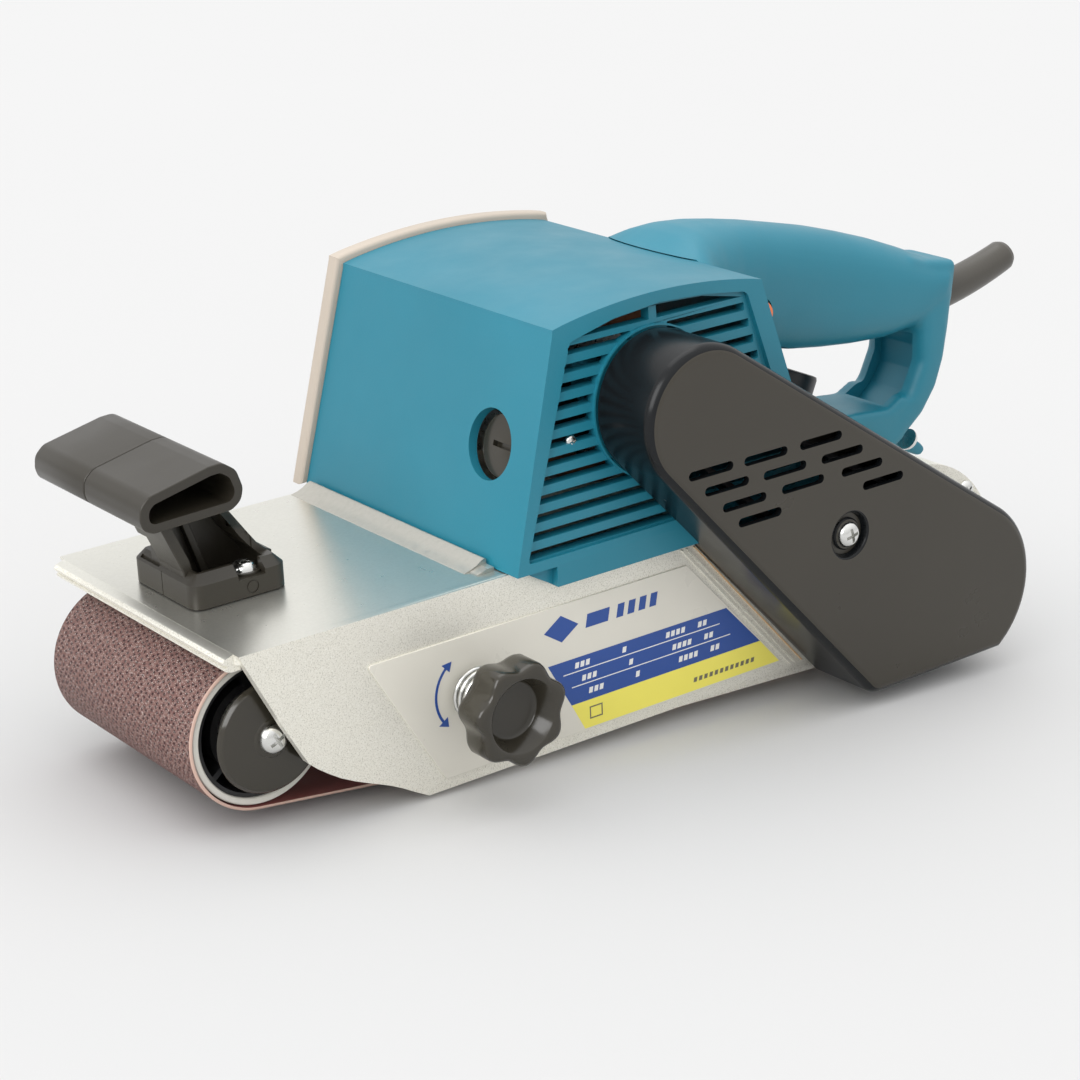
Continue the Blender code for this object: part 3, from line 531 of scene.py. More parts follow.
def sanding_belt():
    """The abrasive loop, with cloth inside and frayed edges."""
    outside = belt_outline()
    count = len(outside)
    normals = []
    for index in range(count):
        before, after = Vector(outside[index - 1]), Vector(outside[(index + 1) % count])
        along = (after - before).normalized()
        normals.append(Vector((along.y, -along.x)))
    section = [(-38.0, 0.85), (-38.0, 0.25), (-37.75, 0.0), (37.75, 0.0), (38.0, 0.25), (38.0, 0.85)]
    travel = [0.0]
    for index in range(count):
        travel.append(travel[-1] + (Vector(outside[(index + 1) % count]) - Vector(outside[index])).length)
    shape = bmesh.new()
    sheet = shape.loops.layers.uv.new("belt_sheet")
    rings = []
    for index in range(count):
        spot, out = Vector(outside[index]), normals[index]
        ring = []
        for y, depth in section:
            inner = spot - out * depth
            ring.append(shape.verts.new((inner.x * MM, y * MM, inner.y * MM)))
        rings.append(ring)
    for index in range(count):
        one, two = rings[index], rings[(index + 1) % count]
        for k in range(len(section)):
            n = (k + 1) % len(section)
            face = shape.faces.new((one[k], one[n], two[n], two[k]))
            face.material_index = {2: 0, 5: 1}.get(k, 2)
            for loop, corner in zip(face.loops, ((k, 0), (n, 0), (n, 1), (k, 1))):
                loop[sheet].uv = (section[corner[0]][0] * MM, travel[index + corner[1]] * MM)
    mesh = outward_mesh("belt_skin", shape)
    made = put("belt_skin", mesh)
    for finish in (ABRASIVE, CLOTH, FRAY):
        mesh.materials.append(finish)
    sharpen(made, 50)
    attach(made, "machine")
    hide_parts("sanding_belt")


def rollers():
    """Front roller rim and web, with its hub caps and their screws."""
    along = facing(0, 0, 0, (0, 1, 0))
    rim = turned("roller_rim", [(20.75, 37), (20.75, -37), (20.45, -37.3), (19.1, -37.3), (18.8, -37),
                                (18.8, 37), (19.1, 37.3), (20.45, 37.3)], along, sides=128,
                 body="front_roller", finish=RIM)
    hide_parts("front_roller_tube")
    core = turned("roller_web", [(18.7, 36.4), (18.7, -36.4), (17.6, -36.4), (17.4, -20), (13.6, -20),
                                 (13.5, -34), (11.3, -34), (11.3, -26.7), (5, -26.7), (5, 26.7),
                                 (11.3, 26.7), (11.3, 34), (13.5, 34), (13.6, 20), (17.4, 20),
                                 (17.6, 36.4)], along, sides=96)
    ribs = []
    for rib in range(3):
        angle = radians(120 * rib + 22)
        for side in (-1, 1):
            wall = block("rib", (12.6, min(side * 19, side * 34.5), -0.8),
                         (18.3, max(side * 19, side * 34.5), 0.8))
            wall.matrix_world = CAST @ Matrix.Rotation(angle, 4, "Y")
            ribs.append(wall)
    join(core, *ribs)
    sharpen(core, 30)
    paint(core, INNER)
    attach(core, "front_roller")
    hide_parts("front_roller_core")
    for side, name in ((-1, "near"), (1, "far")):
        place = facing(0, side * 41.5, 0, (0, side, 0))
        cap = turned("hub_cap_" + name, [(0, 1.9), (5.2, 1.9), (5.6, 1.6), (13.9, 1.6), (15.0, 1.4),
                                         (15.7, 0.7), (15.9, 0), (2.6, 0), (2.6, -0.02), (0, -0.02)],
                     place, closed=False, sides=96, body="yoke", finish=KNOB)
        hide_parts("roller_cap_" + name)
        washer = facing(0, side * 43.4, 0, (0, side, 0))
        screw = pan_screw("hub_screw_" + name, washer, 4.3, body="yoke", turn=28)
        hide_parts("roller_screw_" + name)


# ---- casting ------------------------------------------------------------------------
def casting_pieces():
    """The base casting, with its plate, lips, ridge, rear guard and bores."""
    nose = [(-11.5, PLATE_TOP), (0.4, 4.1), (6.8, -7.6)]
    belly = [(9.4, -9.9), (12.6, -12.3), (16.4, -14.8), (20.6, -17.0), (24.6, -18.8), (28.4, -20.4),
             (32, -22.0), (35.4, -23.8), (39.4, -26.2), (43.8, -28.7)]
    heel = [(196, -28.7), (206, -32.5), (240, -32.5)]
    tail = arc(DRIVE_AXIS, GUARD_RADIUS, -38, 88, 40)
    side = nose + belly + heel + tail + [(196, PLATE_TOP - 1), (186, PLATE_TOP)]
    wall = slab("casting_skin", side, -SIDE, -SIDE + 3)
    plate_outline = [(-11.5, -47.6), (-11.5, 47.6), (188, 47.6), (188, -47.6)]
    plate = slab("plate", soft_corners(plate_outline, [2, 2.5, 0, 0]), 25, 28, plane="XY")
    near_strip = block("near_strip", (-9, -SIDE + 0.6, 25), (188, -47, 28))
    far_lip = slab("far_lip", [(-11.3, 28), (-9.0, 23.4), (-5.0, 21.0), (4, 19), (188, 19), (188, 28)],
                   46.3, SIDE)
    front_lip = slab("front_lip", [(-11.4, 28), (-13.9, 27.1), (-14.7, 26.3), (-14.5, 25.6),
                                   (-13.3, 25.2), (-13.3, 24.8), (-14.0, 24.4), (-13.9, 23.7),
                                   (-12.4, 23.2), (-9.6, 23.2), (-9.6, 28)], -46.5, 46.5)
    ridge = slab("ridge", [(64.6, 27.5), (65.4, 28.15), (67.4, 28.6), (69.4, 29.4), (71.0, 30.4),
                           (72.1, 30.8), (72.7, 30.6), (72.7, 27.5)], -40.5, 48.6)
    ridge_end = slab("ridge_end", [(65.6, 27.5), (67.4, 28.3), (70.6, 29.2), (72.7, 29.2), (72.7, 27.5)],
                     -44.2, -40.5)
    inner = GUARD_RADIUS - 2.8
    hood = arc(DRIVE_AXIS, GUARD_RADIUS, 0, 104, 40)
    hood += [(186, PLATE_TOP), (186, PLATE_TOP - 3)] + arc(DRIVE_AXIS, inner, 104, 0, 40)
    tail_shell = slab("tail_shell", hood, -SIDE + 1, SIDE - 6)
    beam = [(88, 9), (186, 3), (188, floor_height(188, 5.6)), (76, floor_height(76, 5.6)),
            (76, floor_height(76, 9.6)), (88, floor_height(88, 13.6))]
    core = slab("beam", beam, -SIDE + 1, 36)
    hollow = [(95, 4), (181, -1), (181, floor_height(181, 1.6)), (95, floor_height(95, 1.6))]
    pocket = slab("pocket", hollow, -SIDE + 6, 32)
    boss = turned("drive_boss", [(17.5, 0), (17.5, -17), (0, -17), (0, 0)],
                  near_at(DRIVE_AXIS, -57), closed=False)
    join(wall, plate, near_strip, far_lip, front_lip, ridge, ridge_end, tail_shell, core, boss)
    slide_way = rod("slide_way", 5.4, 0, 64, facing(60, 0, 0, (1, 0, 0)))
    stud_way = rod("stud_way", 3.4, 0, 20, near_at(KNOB_AXIS, -40))
    bore = rod("drive_bore", 14.4, 0, 20, near_at(DRIVE_AXIS, -39))
    cut(wall, pocket, slide_way, stud_way, bore)
    paint(wall, CASTING, TOP, RIDGE)
    for face in wall.data.polygons:
        upper = face.normal.z > 0.9 and face.center.z > 27.5 * MM
        face.material_index = 1 if upper and face.center.x < 0.09 else 0
        # The ridge's sloping faces take the darker casting colour.
        if face.center.z > 27.9 * MM and 64 * MM < face.center.x < 72.65 * MM and face.normal.z < 0.9999:
            face.material_index = 2
    rounded(wall, 0.6, 3, 30)
    flatten(wall)
    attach(wall, "machine")
    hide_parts("base_casting")


def nameplate():
    """The foil plate, its colour bands and marks, and the arrow beside the knob."""
    y = -SIDE - 0.5
    corners = [(26.3, 14.7), (49.5, -25.4), (172.3, -25.4), (136.2, 14.6)]
    plate = slab("plate_skin", soft_corners(corners, 1.2), y, y + 0.5, edge=0.12)
    hole = rod("plate_hole", 4.6, 0, 20, near_at(KNOB_AXIS, -40))
    cut(plate, hole)
    paint(plate, SILVER_FOIL)
    flatten(plate)
    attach(plate, "machine")
    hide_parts("nameplate")
    ink = y - 0.06
    slab("blue_band", [(85.4, -2.45), (93.1, -16.4), (163.5, -16.4), (150.7, -2.45)], ink, y + 0.1,
         finish=INK_BLUE)
    slab("yellow_band", [(93.1, -16.4), (97.6, -24.9), (171.0, -24.9), (163.5, -16.4)], ink, y + 0.1,
         finish=INK_YELLOW)
    for row, (left, right) in enumerate([(90.6, 148), (93.4, 152)]):
        z = -6.5 - 4.4 * row
        slab("rule_%d" % row, [(left, z), (left, z - 0.28), (right, z - 0.28), (right, z)], ink - 0.05, y,
             finish=INK_WHITE)
    for column, (x, width) in enumerate([(95, 9), (112, 4), (128, 12), (140, 7)]):
        for row in range(3):
            z = -3.9 - 4.4 * row
            start = x + 2.3 * row
            for part in range(max(1, width // 3)):
                left = start + 1.9 * part
                tick = [(left, z), (left - 0.3, z - 1.7), (left + 1.0, z - 1.7), (left + 1.3, z)]
                slab("tick_%d_%d_%d" % (column, row, part), tick, ink - 0.05, y, finish=INK_WHITE)
    slab("mark_diamond", [(84.5, 7.6), (90.5, 3.6), (96.5, 7.6), (90.5, 11.6)], ink, y + 0.1,
         finish=INK_BLUE)
    for start, width in ((99, 8), (110, 2.4), (114, 2.4), (118, 2.4), (122, 2.4)):
        bar = [(start, 5.6), (start + width, 5.6), (start + width + 0.8, 9.6), (start + 0.8, 9.6)]
        slab("mark_%d" % start, bar, ink, y + 0.1, finish=INK_BLUE)
    ring = [(99.4, -18.6), (104.0, -18.6), (104.0, -22.4), (99.4, -22.4)]
    slab("mark_square", ring, ink - 0.05, y, holes=(inset(ring, -0.4),), finish=INK_GREY)
    for start in range(138, 162, 2):
        bar = [(start, -20.9), (start - 0.3, -22.3), (start + 0.9, -22.3), (start + 1.2, -20.9)]
        slab("mark_small_%d" % start, bar, ink - 0.05, y, finish=INK_GREY)
    for shift, wide, finish in ((0, 0.5, CASTING), (1.9, 0.5, CASTING), (4.6, 0.35, BRONZE)):
        top, foot = 134.4 + shift, 175.4 + shift
        slab("edge_rail", [(top, 19.6), (foot, -27.2), (foot + wide, -27.2), (top + wide, 19.6)],
             -SIDE - 0.7, -SIDE + 0.2, finish=finish)
    arrow = arc(KNOB_AXIS, 12.2, 134, 214, 20) + arc(KNOB_AXIS, 11.4, 214, 134, 20)
    slab("turn_arrow", arrow, ink, y + 0.1, finish=INK_BLUE)
    for angle, way in ((134, -1), (214, 1)):
        tip = arc(KNOB_AXIS, 11.8, angle + way * 13, angle + way * 13, 1)[0]
        wings = arc(KNOB_AXIS, 13.6, angle, angle, 1)[0], arc(KNOB_AXIS, 10.0, angle, angle, 1)[0]
        slab("arrow_head_%d" % angle, [tip, wings[0], wings[1]], ink, y + 0.1, finish=INK_BLUE)


# ---- motor housing ------------------------------------------------------------------
def half_width(z):
    """Half the housing's length at a height."""
    part = (z - PLATE_TOP) / (HOUSING_HIGH - PLATE_TOP)
    return HALF_LOW + (HALF_HIGH - HALF_LOW) * part


def housing_outline(grow=0.0, low=HOUSING_LOW, steps=24, corner=1.6):
    """The housing's side outline, with its crowned top."""
    middle = HOUSING_MIDDLE
    foot, chord, high = half_width(low) + grow, HALF_HIGH + grow, HOUSING_HIGH + grow
    top = []
    for step in range(steps + 1):
        across = chord * (1 - 2 * step / steps)
        top.append((middle + across, high + CROWN * (1 - (across / chord) ** 2)))
    right = Vector((middle + foot, low)) - Vector(top[0])
    left = Vector((middle - foot, low)) - Vector(top[-1])
    right, left = right.normalized() * corner, left.normalized() * corner
    blend_right = [(top[0][0] + right.x, top[0][1] + right.y),
                   (top[0][0] + 0.15 * corner, top[0][1] - 0.1 * corner)]
    blend_left = [(top[-1][0] - 0.15 * corner, top[-1][1] - 0.1 * corner),
                  (top[-1][0] + left.x, top[-1][1] + left.y)]
    return [(middle - foot, low), (middle + foot, low)] + blend_right + top[1:-1] + blend_left


def draft(made):
    """Lean the near wall inwards towards the top, fading out at the open side."""
    for vertex in made.data.vertices:
        rise = max(0.0, (vertex.co.z / MM - HOUSING_LOW) / (HOUSING_HIGH - HOUSING_LOW))
        share = min(1.0, max(0.0, (HOUSING_FAR - vertex.co.y / MM) / (HOUSING_FAR - HOUSING_NEAR)))
        vertex.co.y += 4.5 * MM * rise * share ** 2
    return made


def motor_housing():
    """The housing with its vent grille, skirt and brush holes."""
    shell = slab("housing_skin", housing_outline(), HOUSING_NEAR, HOUSING_FAR)
    skirt = slab("skirt", [(87, 28.6), (87, 22.3), (171, 22.3), (174, 28.6)], HOUSING_NEAR, -SIDE - 0.3)
    gusset = slab("gusset", [(79.2, 28.6), (79.9, 26.6), (87.2, 22.3), (87.2, 28.6)], HOUSING_NEAR + 2.4,
                  -SIDE - 0.3)
    join(shell, skirt, gusset)
    inside = slab("inside", housing_outline(-2.6, 20), HOUSING_NEAR + 5.2, 60)
    recess = slab("recess", soft_corners([(77.4, 31.2), (178.2, 31.2), (160.4, 91.0), (145, 93.1),
                                          (129, 94.0), (113, 92.6), (97.2, 89.0)], [1, 3, 3, 0, 0, 0, 2]),
                  HOUSING_NEAR - 2, HOUSING_NEAR + 1.5)
    cut(shell, inside, recess)
    slots = []
    collar, centre, pitch, lowest, half_height = 21.0, COLLAR_CENTRE, 4.88, 32.8, 1.2
    for row in range(12):
        z = lowest + pitch * row
        left = 78.7 + (z - lowest) * 0.328
        right = 175.6 - (z - 31.4) * 0.28
        pieces = [(left, right)]
        if abs(z - centre[1]) < collar:
            reach = sqrt(collar ** 2 - (z - centre[1]) ** 2)
            pieces = [(left, centre[0] - reach), (centre[0] + reach, right)]
        elif z > centre[1]:
            pieces = [(left, 125.8), (128.5, right)]
        for start, end in pieces:
            if end - start > 3:
                slots.append(slab("slot", soft_corners(box_outline(start, end, z, half_height), 0.4, 2),
                                  HOUSING_NEAR - 2, HOUSING_NEAR + 8))
    for corners in ([(101, 89.4), (125.8, 89.4), (125.8, 93.0), (113, 91.9)],
                    [(128.5, 89.4), (159.6, 89.4), (145, 92.4), (128.5, 93.2)]):
        slots.append(slab("top_slot", corners, HOUSING_NEAR - 2, HOUSING_NEAR + 8))
    bearing_way = rod("bearing_way", 13, 0, 12, near_at(MOTOR_AXIS, -38))
    cut(shell, bearing_way, *slots)
    ring = turned("collar_ring", [(21.2, 1.0), (21.7, 1.0), (21.7, -2.0), (21.2, -2.0)],
                  near_at(centre, HOUSING_NEAR + 1.5), sides=96)
    join(shell, ring)
    shaft_way = rod("shaft_way", 9, 0, 20, near_at(MOTOR_AXIS, -44))
    z = 59.3
    lean = (HALF_LOW - HALF_HIGH) / (HOUSING_HIGH - PLATE_TOP)
    out = Vector((-1, 0, lean)).normalized()
    spot = Vector((HOUSING_MIDDLE - half_width(z), -32.8, z))
    front = rod("front_hole", 10, -12, 12, facing(*spot, out))
    back_out = Vector((1, 0, lean)).normalized()
    back = Vector((HOUSING_MIDDLE + half_width(z), -32.8, z))
    rear = rod("rear_hole", 10, -12, 12, facing(*back, back_out))
    cut(shell, shaft_way, front, rear)
    draft(shell)
    paint(shell, BLUE)
    rounded(shell, 0.5, 3, 32)
    flatten(shell)
    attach(shell, "machine")
    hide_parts("motor_housing")
    for name, place, direction in (("front", spot, out), ("rear", back, back_out)):
        cap = turned("cap_" + name, [(0, -3.2), (8.8, -3.4), (9.25, -3.7), (9.4, -4.2), (9.4, -8.2),
                                     (0, -8.2)], facing(*place, direction), closed=False)
        groove = block("groove", (-4.2, -0.75, -5.0), (4.2, 0.75, 2))
        groove.matrix_world = CAST @ facing(*place, direction)
        cut(cap, groove)
        paint(cap, KNOB)
        rounded(cap, 0.25, 2, 35)
        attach(cap, "machine")
        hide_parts("brush_cap_" + name)


def end_cap():
    """The vented cap on the open side."""
    start = HOUSING_FAR + 0.3
    cap = slab("cap_skin", housing_outline(1.9, 28.4), start, start + 5.3, edge=1.3, segments=4)
    seat_at = facing(MOTOR_AXIS[0], 47.8, MOTOR_AXIS[1], (0, 1, 0))
    boss = turned("cap_boss", [(14, 6), (14, -4.3), (0, -4.3), (0, 6)], seat_at, closed=False)
    vents = []
    for row in range(8):
        z = 36 + 6.6 * row
        for way in (-1, 1):
            near, far = sorted((way * 15, way * (half_width(z) - 10)))
            outline = box_outline(HOUSING_MIDDLE + near, HOUSING_MIDDLE + far, z, 1.3)
            vents.append(slab("vent", soft_corners(outline, 1.2, 3), start - 2, start + 10))
    join(cap, boss)
    cut(cap, *vents)
    seat = turned("seat", [(11.3, 4), (11.3, -20), (0, -20), (0, 4)], seat_at, closed=False)
    cut(cap, seat)
    sharpen(cap, 30)
    paint(cap, BEIGE)
    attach(cap, "machine")
    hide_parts("end_cap")


# ---- belt-drive cover ---------------------------------------------------------------
def cover_outline(inset=0.0):
    """The drive cover's outline round both pulleys."""
    top, low, corner = COLLAR_CENTRE, (225.5, -10.5), (190.5, -27.2)
    points = arc(top, 20.8 - inset, 55, 222, 40)
    points += arc(corner, 6.4 - inset, 224, 270, 8)
    points += arc(low, 27.6 - inset, -56 + inset, 55, 30)
    return points


def belt_cover():
    """The drive cover, with its slots, screw recess and back plate."""
    cover = slab("cover_skin", cover_outline(), COVER_FACE, -SIDE - 0.3 + 3.2, edge=3.1, segments=6)
    trim = block("trim", (80, -SIDE - 0.3, -60), (280, -SIDE + 20, 110))
    inside = slab("cover_room", cover_outline(2.2), COVER_FACE + 2.2, -40)
    room = slab("housing_room", housing_outline(0.35, 22.0), HOUSING_NEAR - 0.25, -30)
    draft(room)
    boss = turned("cover_boss", [(5, 22), (5, 0), (0, 0), (0, 22)], near_at(COVER_SCREW_AT, -SIDE - 0.3),
                  closed=False)
    at_screw = near_at(COVER_SCREW_AT, COVER_FACE)
    recess = turned("cover_recess", [(0, 3), (7.6, 3), (7.6, 0.1), (7.1, -0.15), (6.7, -0.6), (6.4, -2.0),
                                     (6.2, -2.3), (0, -2.3)], at_screw, closed=False)
    pad = turned("cover_pad", [(0, -1.0), (8.6, -1.0), (8.6, -4.5), (0, -4.5)], at_screw, closed=False)
    step = turned("cover_step", [(0, -1.2), (4.4, -1.2), (4.8, -1.6), (4.9, -2.6), (0, -2.6)], at_screw,
                  closed=False)
    cut(cover, trim, inside, room)
    join(cover, boss, pad)
    centres = [(125.8, 51.6), (131.4, 45.9), (137.7, 39.7), (143.3, 33.9), (145.7, 51.3), (152.7, 45.5),
               (159.4, 39.8), (166.3, 51.2), (174.4, 45.2), (182.1, 39.5), (190.4, 33.5)]
    slots = []
    for x, z in centres:
        outline = arc((x - 6.6, z), 1.35, 90, 270, 10) + arc((x + 6.6, z), 1.35, -90, 90, 10)
        slots.append(slab("slot", outline, COVER_FACE - 2, COVER_FACE + 5))
    cut(cover, recess, *slots)
    back = slab("cover_back", cover_outline(1.4), -SIDE - 2.2, -SIDE - 1.1)
    cut(back, slab("under_housing", housing_outline(0.6, 18), -60, -40),
        turned("round_boss", [(0, 12), (18.2, 12), (18.2, -12), (0, -12)], near_at(DRIVE_AXIS, -50),
               closed=False))
    join(cover, step, back)
    paint(cover, COVER, COVER_SHADED_SIDE)
    # Faces square to Y keep the face's black; every other face gets the darker side black, painted shade
    # on the cover's sides.
    for face in cover.data.polygons:
        face.material_index = 0 if abs(face.normal.y) > 0.94 else 1
    rounded(cover, 0.3, 2, 40)
    flatten(cover)
    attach(cover, "machine")
    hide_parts("belt_cover")
    screw = pan_screw("cover_pan_screw", near_at(COVER_SCREW_AT, COVER_FACE + 1.2), 3.9, turn=12)
    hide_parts("cover_screw")


# ---- handle -------------------------------------------------------------------------
def loft(name, sections, sides=40, power=2.6):
    """Closed skin through superellipse sections: (centre, half size 1 and its direction, half size 2)."""
    shape = bmesh.new()
    rings = []
    for centre, first, half_first, second, half_second in sections:
        ring = []
        for k in range(sides):
            angle = 2 * pi * k / sides
            c, s = cos(angle), sin(angle)
            a = abs(c) ** (2 / power) * (1 if c >= 0 else -1)
            b = abs(s) ** (2 / power) * (1 if s >= 0 else -1)
            spot = Vector(centre) + Vector(first) * half_first * a + Vector(second) * half_second * b
            ring.append(shape.verts.new(spot * MM))
        rings.append(ring)
    span(shape, rings)
    mesh = outward_mesh(name, shape)
    return put(name, mesh)


def handle():
    """Both handle halves as one skin, with the bores for guard, button and trigger."""
    across = (0, 1, 0)
    bar = []
    stations = ((158, 94.0, 62, 36, 0.0), (163, 95.0, 61, 33, 0.0), (166.5, 96.6, 60.4, 30, 0.0),
                (170, 98.4, 60, 26.5, 0.02), (174, 99.6, 58.5, 22, 0.08), (180, 99.4, 57.5, 18.2, 0.14),
                (188, 98.0, 57, 15.6, 0.2), (198, 95.9, 57.2, 14.3, 0.24), (210, 92.9, 55.2, 13.8, 0.27),
                (222, 89.8, 52.4, 13.6, 0.3), (234, 86.0, 50.6, 13.6, 0.33),
                (247, 81.5, 49.2, 13.8, 0.36), (259, 76.8, 48.6, 14.0, 0.38), (270, 72.2, 50, 14.0, 0.4),
                (277, 70.6, 54, 13.6, 0.4))
    for x, top, low, half, tilt in stations:
        up = Vector((sin(tilt), 0, cos(tilt)))
        middle = Vector((x, 0, (top + low) / 2))
        bar.append((middle, up, (top - low) / 2 / cos(tilt) * 0.985, across, half))
    grip = loft("handle_bar", bar, power=2.7)
    leg = []
    stations = ((262, 282.3, 66, 13.2), (264, 281.2, 59, 13.4), (265.8, 279.4, 50, 13.6),
                (265.6, 277.0, 40, 13.8), (261, 273.8, 31, 13.8), (252, 268.5, 23, 13.6),
                (245, 259, 15.8, 13.2))
    for front, back, z, half in stations:
        leg.append((Vector(((front + back) / 2, 0, z)), Vector((1, 0, 0)), (back - front) / 2, across,
                    half))
    post = loft("handle_leg", leg, power=4.5)
    head = slab("handle_block", soft_corners([(258, 66), (262, 75.6), (269.5, 72.8), (283.6, 70.2),
                                              (281.6, 57), (262, 57)], [0, 2, 6, 1.6, 1, 0]), -11.5, 11.5,
                edge=2.6, segments=4)
    root = [(160.5, 86), (176, 86), (190, 84), (196, 60), (188, 40), (190, 33), (205, 30.8), (236, 29.0),
            (252, 27.4), (258.5, 30.5), (262, 28),
            (258.4, 15.8)] + arc(DRIVE_AXIS, GUARD_RADIUS + 0.6, 44, 100, 12) + [(185.4, 29.0)]
    web = slab("handle_web", root, -13.4, 13.4, edge=1.6, segments=4)
    ear = slab("ear", [(252, 17.5), (261, 15.6), (266, 12.8), (271.4, 10.6), (274.2, 7.6), (271.4, 5.6),
                       (266.4, 8.0), (260.5, 11.6), (252, 12)], -7.5, 3, edge=0.8)
    solid = merged(grip, post, head, web, ear)
    trim = slab("front_trim", housing_outline(0.3, 20), HOUSING_NEAR - 10, 70)
    remesh = solid.modifiers.new("remesh", "REMESH")
    remesh.mode = "VOXEL"
    remesh.voxel_size = 0.9 * MM
    settle(solid)
    ease = solid.modifiers.new("ease", "SMOOTH")
    ease.factor = 0.5
    ease.iterations = 7
    settle(solid)
    under = arc(DRIVE_AXIS, GUARD_RADIUS + 0.3, 0, 104, 40) + [(186, 28.3), (150, 28.3), (150, 0),
            (228, -10)]
    low_trim = slab("low_trim", under, -60, 60)
    cut(solid, trim, low_trim)
    guard_way = turned("guard_way", [(6.7, 40), (6.7, 0), (0, 0), (0, 40)],
                       facing(268, 0, 55.9, (0.99, 0, 0.09)), closed=False)
    button_way = turned("button_way", [(4.4, 18), (4.4, 0), (0, 0), (0, 18)], near_at(BUTTON_AXIS, -4),
                        closed=False)
    trigger_way = block("trigger_way", (186.6, -7, 45), (214, 7, 66))
    channel = slab("leg_channel", soft_corners([(258, 49), (266.6, 49), (269.0, 44), (268.2, 36),
                                                (264.2, 29.6), (257, 24.0), (250, 30), (257, 40)], 2, 3),
                   -8.6, 8.6)
    cut(solid, guard_way, button_way, trigger_way, channel)
    sharpen(solid, 45)
    paint(solid, BLUE)
    solid.name = "handle_skin"
    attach(solid, "machine")
    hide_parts("handle_near", "handle_far")


def guard_route(step):
    """Middle of the cord guard, from its root at 0 to its tip at 1."""
    return Vector((268 + 48.5 * step, 0, 56 + 8.6 * step ** 2))


def cord_guard():
    """The bent rubber guard, open at its tip."""
    sides, steps = 32, 28
    shape = bmesh.new()
    rings = []
    stations = [(step / steps, 6.3 * (1 - 0.19 * step / steps)) for step in range(steps + 1)]
    stations[-1] = (1.0, stations[-1][1] - 0.9)
    stations.insert(-1, (0.975, stations[-2][1] - 0.25))
    inner = [(1.0, 3.9), (0.985, 3.6), (0.7, 3.4), (0.5, 3.4)]
    for step, radius in stations + inner:
        centre = guard_route(step)
        ahead = (guard_route(step + 0.02) - guard_route(step - 0.02)).normalized()
        up = Vector((-ahead.z, 0, ahead.x))
        ring = []
        for k in range(sides):
            turn = 2 * pi * k / sides
            offset = Vector((0, 1, 0)) * radius * cos(turn) + up * radius * sin(turn)
            ring.append(shape.verts.new((centre + offset) * MM))
        rings.append(ring)
    span(shape, rings)
    mesh = outward_mesh("guard_skin", shape)
    made = put("guard_skin", mesh, finish=GUARD)
    sharpen(made, 50)
    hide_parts("cord_guard")


# ---- knob and grip ------------------------------------------------------------------
def tracking_knob():
    """The lobed knob, its threaded bush and its coil."""
    x, z = KNOB_AXIS
    lobes, phase, sides = 7, radians(14.5), 196
    skin = [(-58.6, 7.0, 0), (-62.4, 7.4, 0), (-62.6, 10.8, 0.4), (-62.9, 12.4, 0.75),
            (-63.7, 13.5, 0.95), (-65.0, 13.95, 1.0), (-72.3, 13.95, 1.0), (-73.2, 13.75, 1.0),
            (-73.75, 13.3, 0.95), (-74.0, 12.5, 0.85), (-74.0, 10.9, 0), (-73.75, 10.45, 0),
            (-68.2, 8.6, 0), (-67.6, 8.1, 0), (-67.4, 7.3, 0)]
    shape = bmesh.new()
    rings = []
    for y, middle, swing in skin:
        ring = []
        for k in range(sides):
            angle = 2 * pi * k / sides
            radius = middle + swing * cos(lobes * (angle - phase))
            ring.append(shape.verts.new(Vector((x + radius * cos(angle), y,
                                                z + radius * sin(angle))) * MM))
        rings.append(ring)
    span(shape, rings)
    mesh = outward_mesh("knob_skin", shape)
    knob = put("knob_skin", mesh, body="knob", finish=KNOB)
    sharpen(knob, 50)
    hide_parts("tracking_knob")
    thread = [(5.7 - 0.35 * (step % 2), 0.4 * step) for step in range(19)]
    bush = turned("knob_bush", [(0, 0)] + thread + [(0, 7.2)], facing(x, -51.2, z, NEAR), closed=False,
                  body="knob", finish=STEEL)
    spring = bpy.data.curves.new("knob_coil", "CURVE")
    spring.dimensions = "3D"
    spring.bevel_depth = 0.75 * MM
    spring.bevel_resolution = 3
    spring.use_fill_caps = True
    line = spring.splines.new("POLY")
    turns, per_turn = 3, 32
    line.points.add(turns * per_turn)
    for index in range(turns * per_turn + 1):
        angle = 2 * pi * index / per_turn
        part = index / (turns * per_turn)
        line.points[index].co = ((x + 7.1 * cos(angle)) * MM, (-57.7 + 6.6 * part) * MM,
                                 (z + 7.1 * sin(angle)) * MM, 1)
    made = put("knob_coil", curve_mesh("knob_coil", spring), body="knob", finish=STEEL)
    sharpen(made, 60)


GRIP_SECTION = [(-14.8, 53.2), (9, 54), (12, 56), (12.9, 59.5), (11.2, 64.8), (7, 67.8), (3, 67.6),
                (-15.2, 63.6), (-18, 61), (-18.4, 57.5), (-17.6, 54.6)]


def inset(outline, distance):
    """An outline moved inwards, or outwards where the distance is negative."""
    moved = []
    count = len(outline)
    for index in range(count):
        before, here, after = outline[index - 1], outline[index], outline[(index + 1) % count]
        first = Vector((here[0] - before[0], here[1] - before[1])).normalized()
        second = Vector((after[0] - here[0], after[1] - here[1])).normalized()
        normal = Vector((-first.y - second.y, first.x + second.x)).normalized()
        reach = distance / max(0.3, normal.dot(Vector((-first.y, first.x))))
        moved.append((here[0] + normal.x * reach, here[1] + normal.y * reach))
    return moved


def stacked(name, floors):
    """Closed skin through level outlines of equal length: (outline, z)."""
    shape = bmesh.new()
    rings = [[shape.verts.new((x * MM, y * MM, z * MM)) for x, y in outline] for outline, z in floors]
    span(shape, rings)
    mesh = outward_mesh(name, shape)
    return put(name, mesh)


